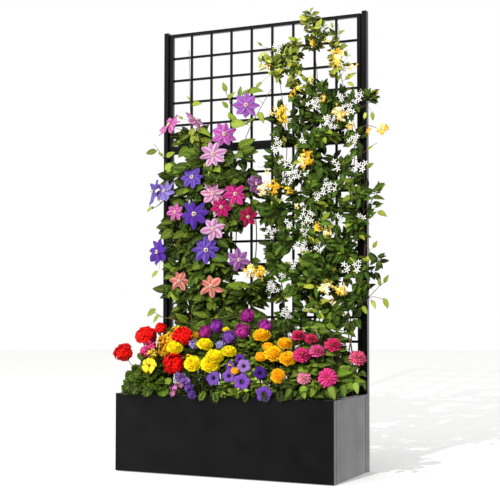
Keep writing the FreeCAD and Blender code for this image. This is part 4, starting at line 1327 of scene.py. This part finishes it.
for node, (shape, palette, count, length, leafCount, spread, leastX) in bedding.items():
    leaves = startMesh()
    growBedding(leaves, node, shape, palette, count, length, leafCount, spread, leastX)
    for u, v, depth, plant, size in looseShoots:
        if plant == node:
            growLooseShoot(leaves, shape, palette, fromPicture(u, v, depth), size)
    for u, v, plant, size, turn in spills:
        if plant == node:
            foot = fromPicture(u, v, frontFace - 0.009)
            foot.z = max(foot.z, rimHeight + 0.006)
            raiseStem(foot, Vector((0, -1, 0)), 0.02, 1.2, 0.9)
            addLeaf(leaves, shape, foot, Vector((turn, -0.35, -0.75)), Vector((0.1, -1, 0.3)) + wobble(0.3),
                    size, palette, 1.05)
    place(leaves, pieceNames[node], beddingLeaf, "bedding_leaves", node)
    print(node, "leaved")

place(geraniumFlowers, "geraniumFlowers", floretPetal, "geranium_petals")
place(phloxFlowers, "phloxFlowers", floretPetal, "phlox_petals")
place(yellowFlowers, "yellowMarigoldFlowers", rayPetal, "yellow_marigold_petals")
place(orangeFlowers, "orangeMarigoldFlowers", rayPetal, "orange_marigold_petals")
place(zinniaFlowers, "zinniaFlowers", rayPetal, "zinnia_petals")
place(zinniaHearts, "zinniaHearts", pollen, "zinnia_petals")
place(petuniaFlowers, "petuniaFlowers", funnelPetal, "petunia_petals")
placeStems(beddingStems, paint("#667E30"), greenStem, "woody_stems")
print("bedding grown")


# Soil

soilLook = {
    "columns": 150, "rows": 56, "crumbs": 420,
    "lump": 0.0014, "crumbSmall": 0.002, "crumbLarge": 0.006,  # metres, as all below
    "edgeWidth": 0.02, "edgeDrop": 0.006, "middleDrop": 0.005, "underTie": 0.001,
}


def makeSoil():
    mesh = startMesh()
    bmesh.ops.create_grid(mesh, x_segments=soilLook["columns"], y_segments=soilLook["rows"], size=0.5)
    size = soilHigh - soilLow
    tieLow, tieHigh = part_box("centre_tie")
    for vert in mesh.verts:
        x, y = vert.co.x * size.x, vert.co.y * size.y
        inside = min(size.x / 2 - abs(x), size.y / 2 - abs(y))
        edge = max(0.0, 1 - inside / soilLook["edgeWidth"])
        lump = (math.sin(x * 61 + 3 * math.sin(y * 47)) + math.sin(y * 83 + 2 * math.sin(x * 39))
                + random.uniform(-1, 1)) * soilLook["lump"]
        z = soilHigh.z - soilLook["middleDrop"] - edge * soilLook["edgeDrop"] + lump
        if abs(x) < tieHigh.x + 0.003:
            z = min(z, tieLow.z - soilLook["underTie"])
        vert.co = (x, y + (soilLow.y + soilHigh.y) / 2, z)
    rim = [e for e in mesh.edges if e.is_boundary]
    grown = bmesh.ops.extrude_edge_only(mesh, edges=rim)["geom"]
    for vert in (g for g in grown if isinstance(g, bmesh.types.BMVert)):
        vert.co.z = soilLow.z + 0.0005
    bmesh.ops.edgenet_fill(mesh, edges=[g for g in grown if isinstance(g, bmesh.types.BMEdge)])
    for _ in range(soilLook["crumbs"]):
        spot = Vector((random.uniform(soilLow.x + 0.01, soilHigh.x - 0.01),
                       random.uniform(soilLow.y + 0.01, soilHigh.y - 0.01), soilHigh.z - 0.003))
        if abs(spot.x) < tieHigh.x + 0.01:
            continue
        size = random.uniform(soilLook["crumbSmall"], soilLook["crumbLarge"])
        turn = Matrix.Rotation(random.uniform(0, 3), 4, wobble(1).normalized())
        matrix = Matrix.Translation(spot) @ turn @ Matrix.Diagonal((size, size * 0.6, size * 0.4, 1))
        bmesh.ops.create_icosphere(mesh, subdivisions=1, radius=1, matrix=matrix)
    bmesh.ops.recalc_face_normals(mesh, faces=mesh.faces[:])
    return mesh


place(makeSoil(), "soilSurface", soilMix, "potting_soil", "soil")
print("soil made")


# Floor, light and camera

studio = {
    # how bright the room looks in shiny faces: towards the eye, away from it, and above
    "mirrorNear": 0.0, "mirrorFar": 1.68, "mirrorAbove": 0.7,
    # and as light on matt faces: away from and towards the window
    "roomDark": 0.2, "roomBright": 1.75, "window": (-0.35, -0.5, 0.79),
    "lampPlace": (0.09, -3.3, 2.6), "lampPower": 140, "lampRadius": 0.01, "floorGlow": 0.24,
}


def makeStage():
    mesh = bmesh.new()
    bmesh.ops.create_circle(mesh, cap_ends=True, segments=96, radius=14)
    data = bpy.data.meshes.new("studioFloor")
    mesh.to_mesh(data)
    mesh.free()
    floor = bpy.data.objects.new("studioFloor", data)
    bpy.context.scene.collection.objects.link(floor)
    material, tree, shader = startMaterial("palePaper")  # matt white seamless paper
    paper = addNode(tree, "ShaderNodeMix",
                    {0: objectNoise(tree, 3), 6: paint("#D4D4D3"), 7: paint("#D8D8D7")},
                    data_type="RGBA")
    setInputs(tree, shader, {"Base Color": paper.outputs[2], "Roughness": 0.95,
                             "Specular IOR Level": 0.1, "Emission Color": white,
                             "Emission Strength": studio["floorGlow"]})
    data.materials.append(material)
    floor.visible_glossy = False
    floor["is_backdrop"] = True


def addLamp():  # a small lamp beside the camera, whose light fades only slowly with distance
    light = bpy.data.lights.new("frontLamp", "POINT")
    light.energy = studio["lampPower"]
    light.shadow_soft_size = studio["lampRadius"]
    light.use_nodes = True
    tree = light.node_tree
    falloff = addNode(tree, "ShaderNodeLightFalloff", {"Strength": 1.0})
    setInputs(tree, tree.nodes["Emission"], {"Strength": falloff.outputs["Linear"]})
    lamp = bpy.data.objects.new("frontLamp", light)
    lamp.location = studio["lampPlace"]
    lamp.visible_glossy = False
    bpy.context.scene.collection.objects.link(lamp)


def makeStudio():
    world = bpy.data.worlds.new("studio")
    bpy.context.scene.world = world
    world.use_nodes = True
    tree = world.node_tree
    rays = addNode(tree, "ShaderNodeLightPath", {})
    way = addNode(tree, "ShaderNodeTexCoord", {}).outputs["Generated"]
    split = addNode(tree, "ShaderNodeSeparateXYZ", {0: way})
    level = addNode(tree, "ShaderNodeMapRange", {0: split.outputs["Y"], 1: -0.9, 2: -0.2,
                                                 3: studio["mirrorNear"], 4: studio["mirrorFar"]})
    rise = addNode(tree, "ShaderNodeMapRange", {0: split.outputs["Z"], 1: 0.05, 2: 0.35, 3: 0, 4: 1})
    mirrored = addNode(tree, "ShaderNodeMix", {0: rise, 2: level, 3: studio["mirrorAbove"]})
    window = addNode(tree, "ShaderNodeVectorMath",
                     {0: way, 1: Vector(studio["window"]).normalized()}, operation="DOT_PRODUCT")
    room = addNode(tree, "ShaderNodeMapRange", {0: window.outputs["Value"], 1: 0, 2: 1,
                                                3: studio["roomDark"], 4: studio["roomBright"]})
    matt = addNode(tree, "ShaderNodeMix", {0: rays.outputs["Is Camera Ray"], 2: room, 3: 1.0})
    seen = addNode(tree, "ShaderNodeMix", {0: rays.outputs["Is Glossy Ray"], 2: matt, 3: mirrored})
    setInputs(tree, tree.nodes["Background"], {"Color": white, "Strength": seen})
    addLamp()


makeStage()
makeStudio()
view = bpy.context.scene.view_settings
view.view_transform = "Standard"
cameraData = bpy.data.cameras.new("pictureCamera")
cameraData.sensor_width = 36
cameraData.lens = eye["focal"] * cameraData.sensor_width / eye["pictureSize"]
cameraData.shift_y = eye["rise"] / eye["pictureSize"]
camera = bpy.data.objects.new("pictureCamera", cameraData)
camera.location = eyePlace
camera.rotation_euler = eyeTurn.to_euler()
bpy.context.scene.collection.objects.link(camera)
bpy.context.scene.camera = camera
print("stage set")

low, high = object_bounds()
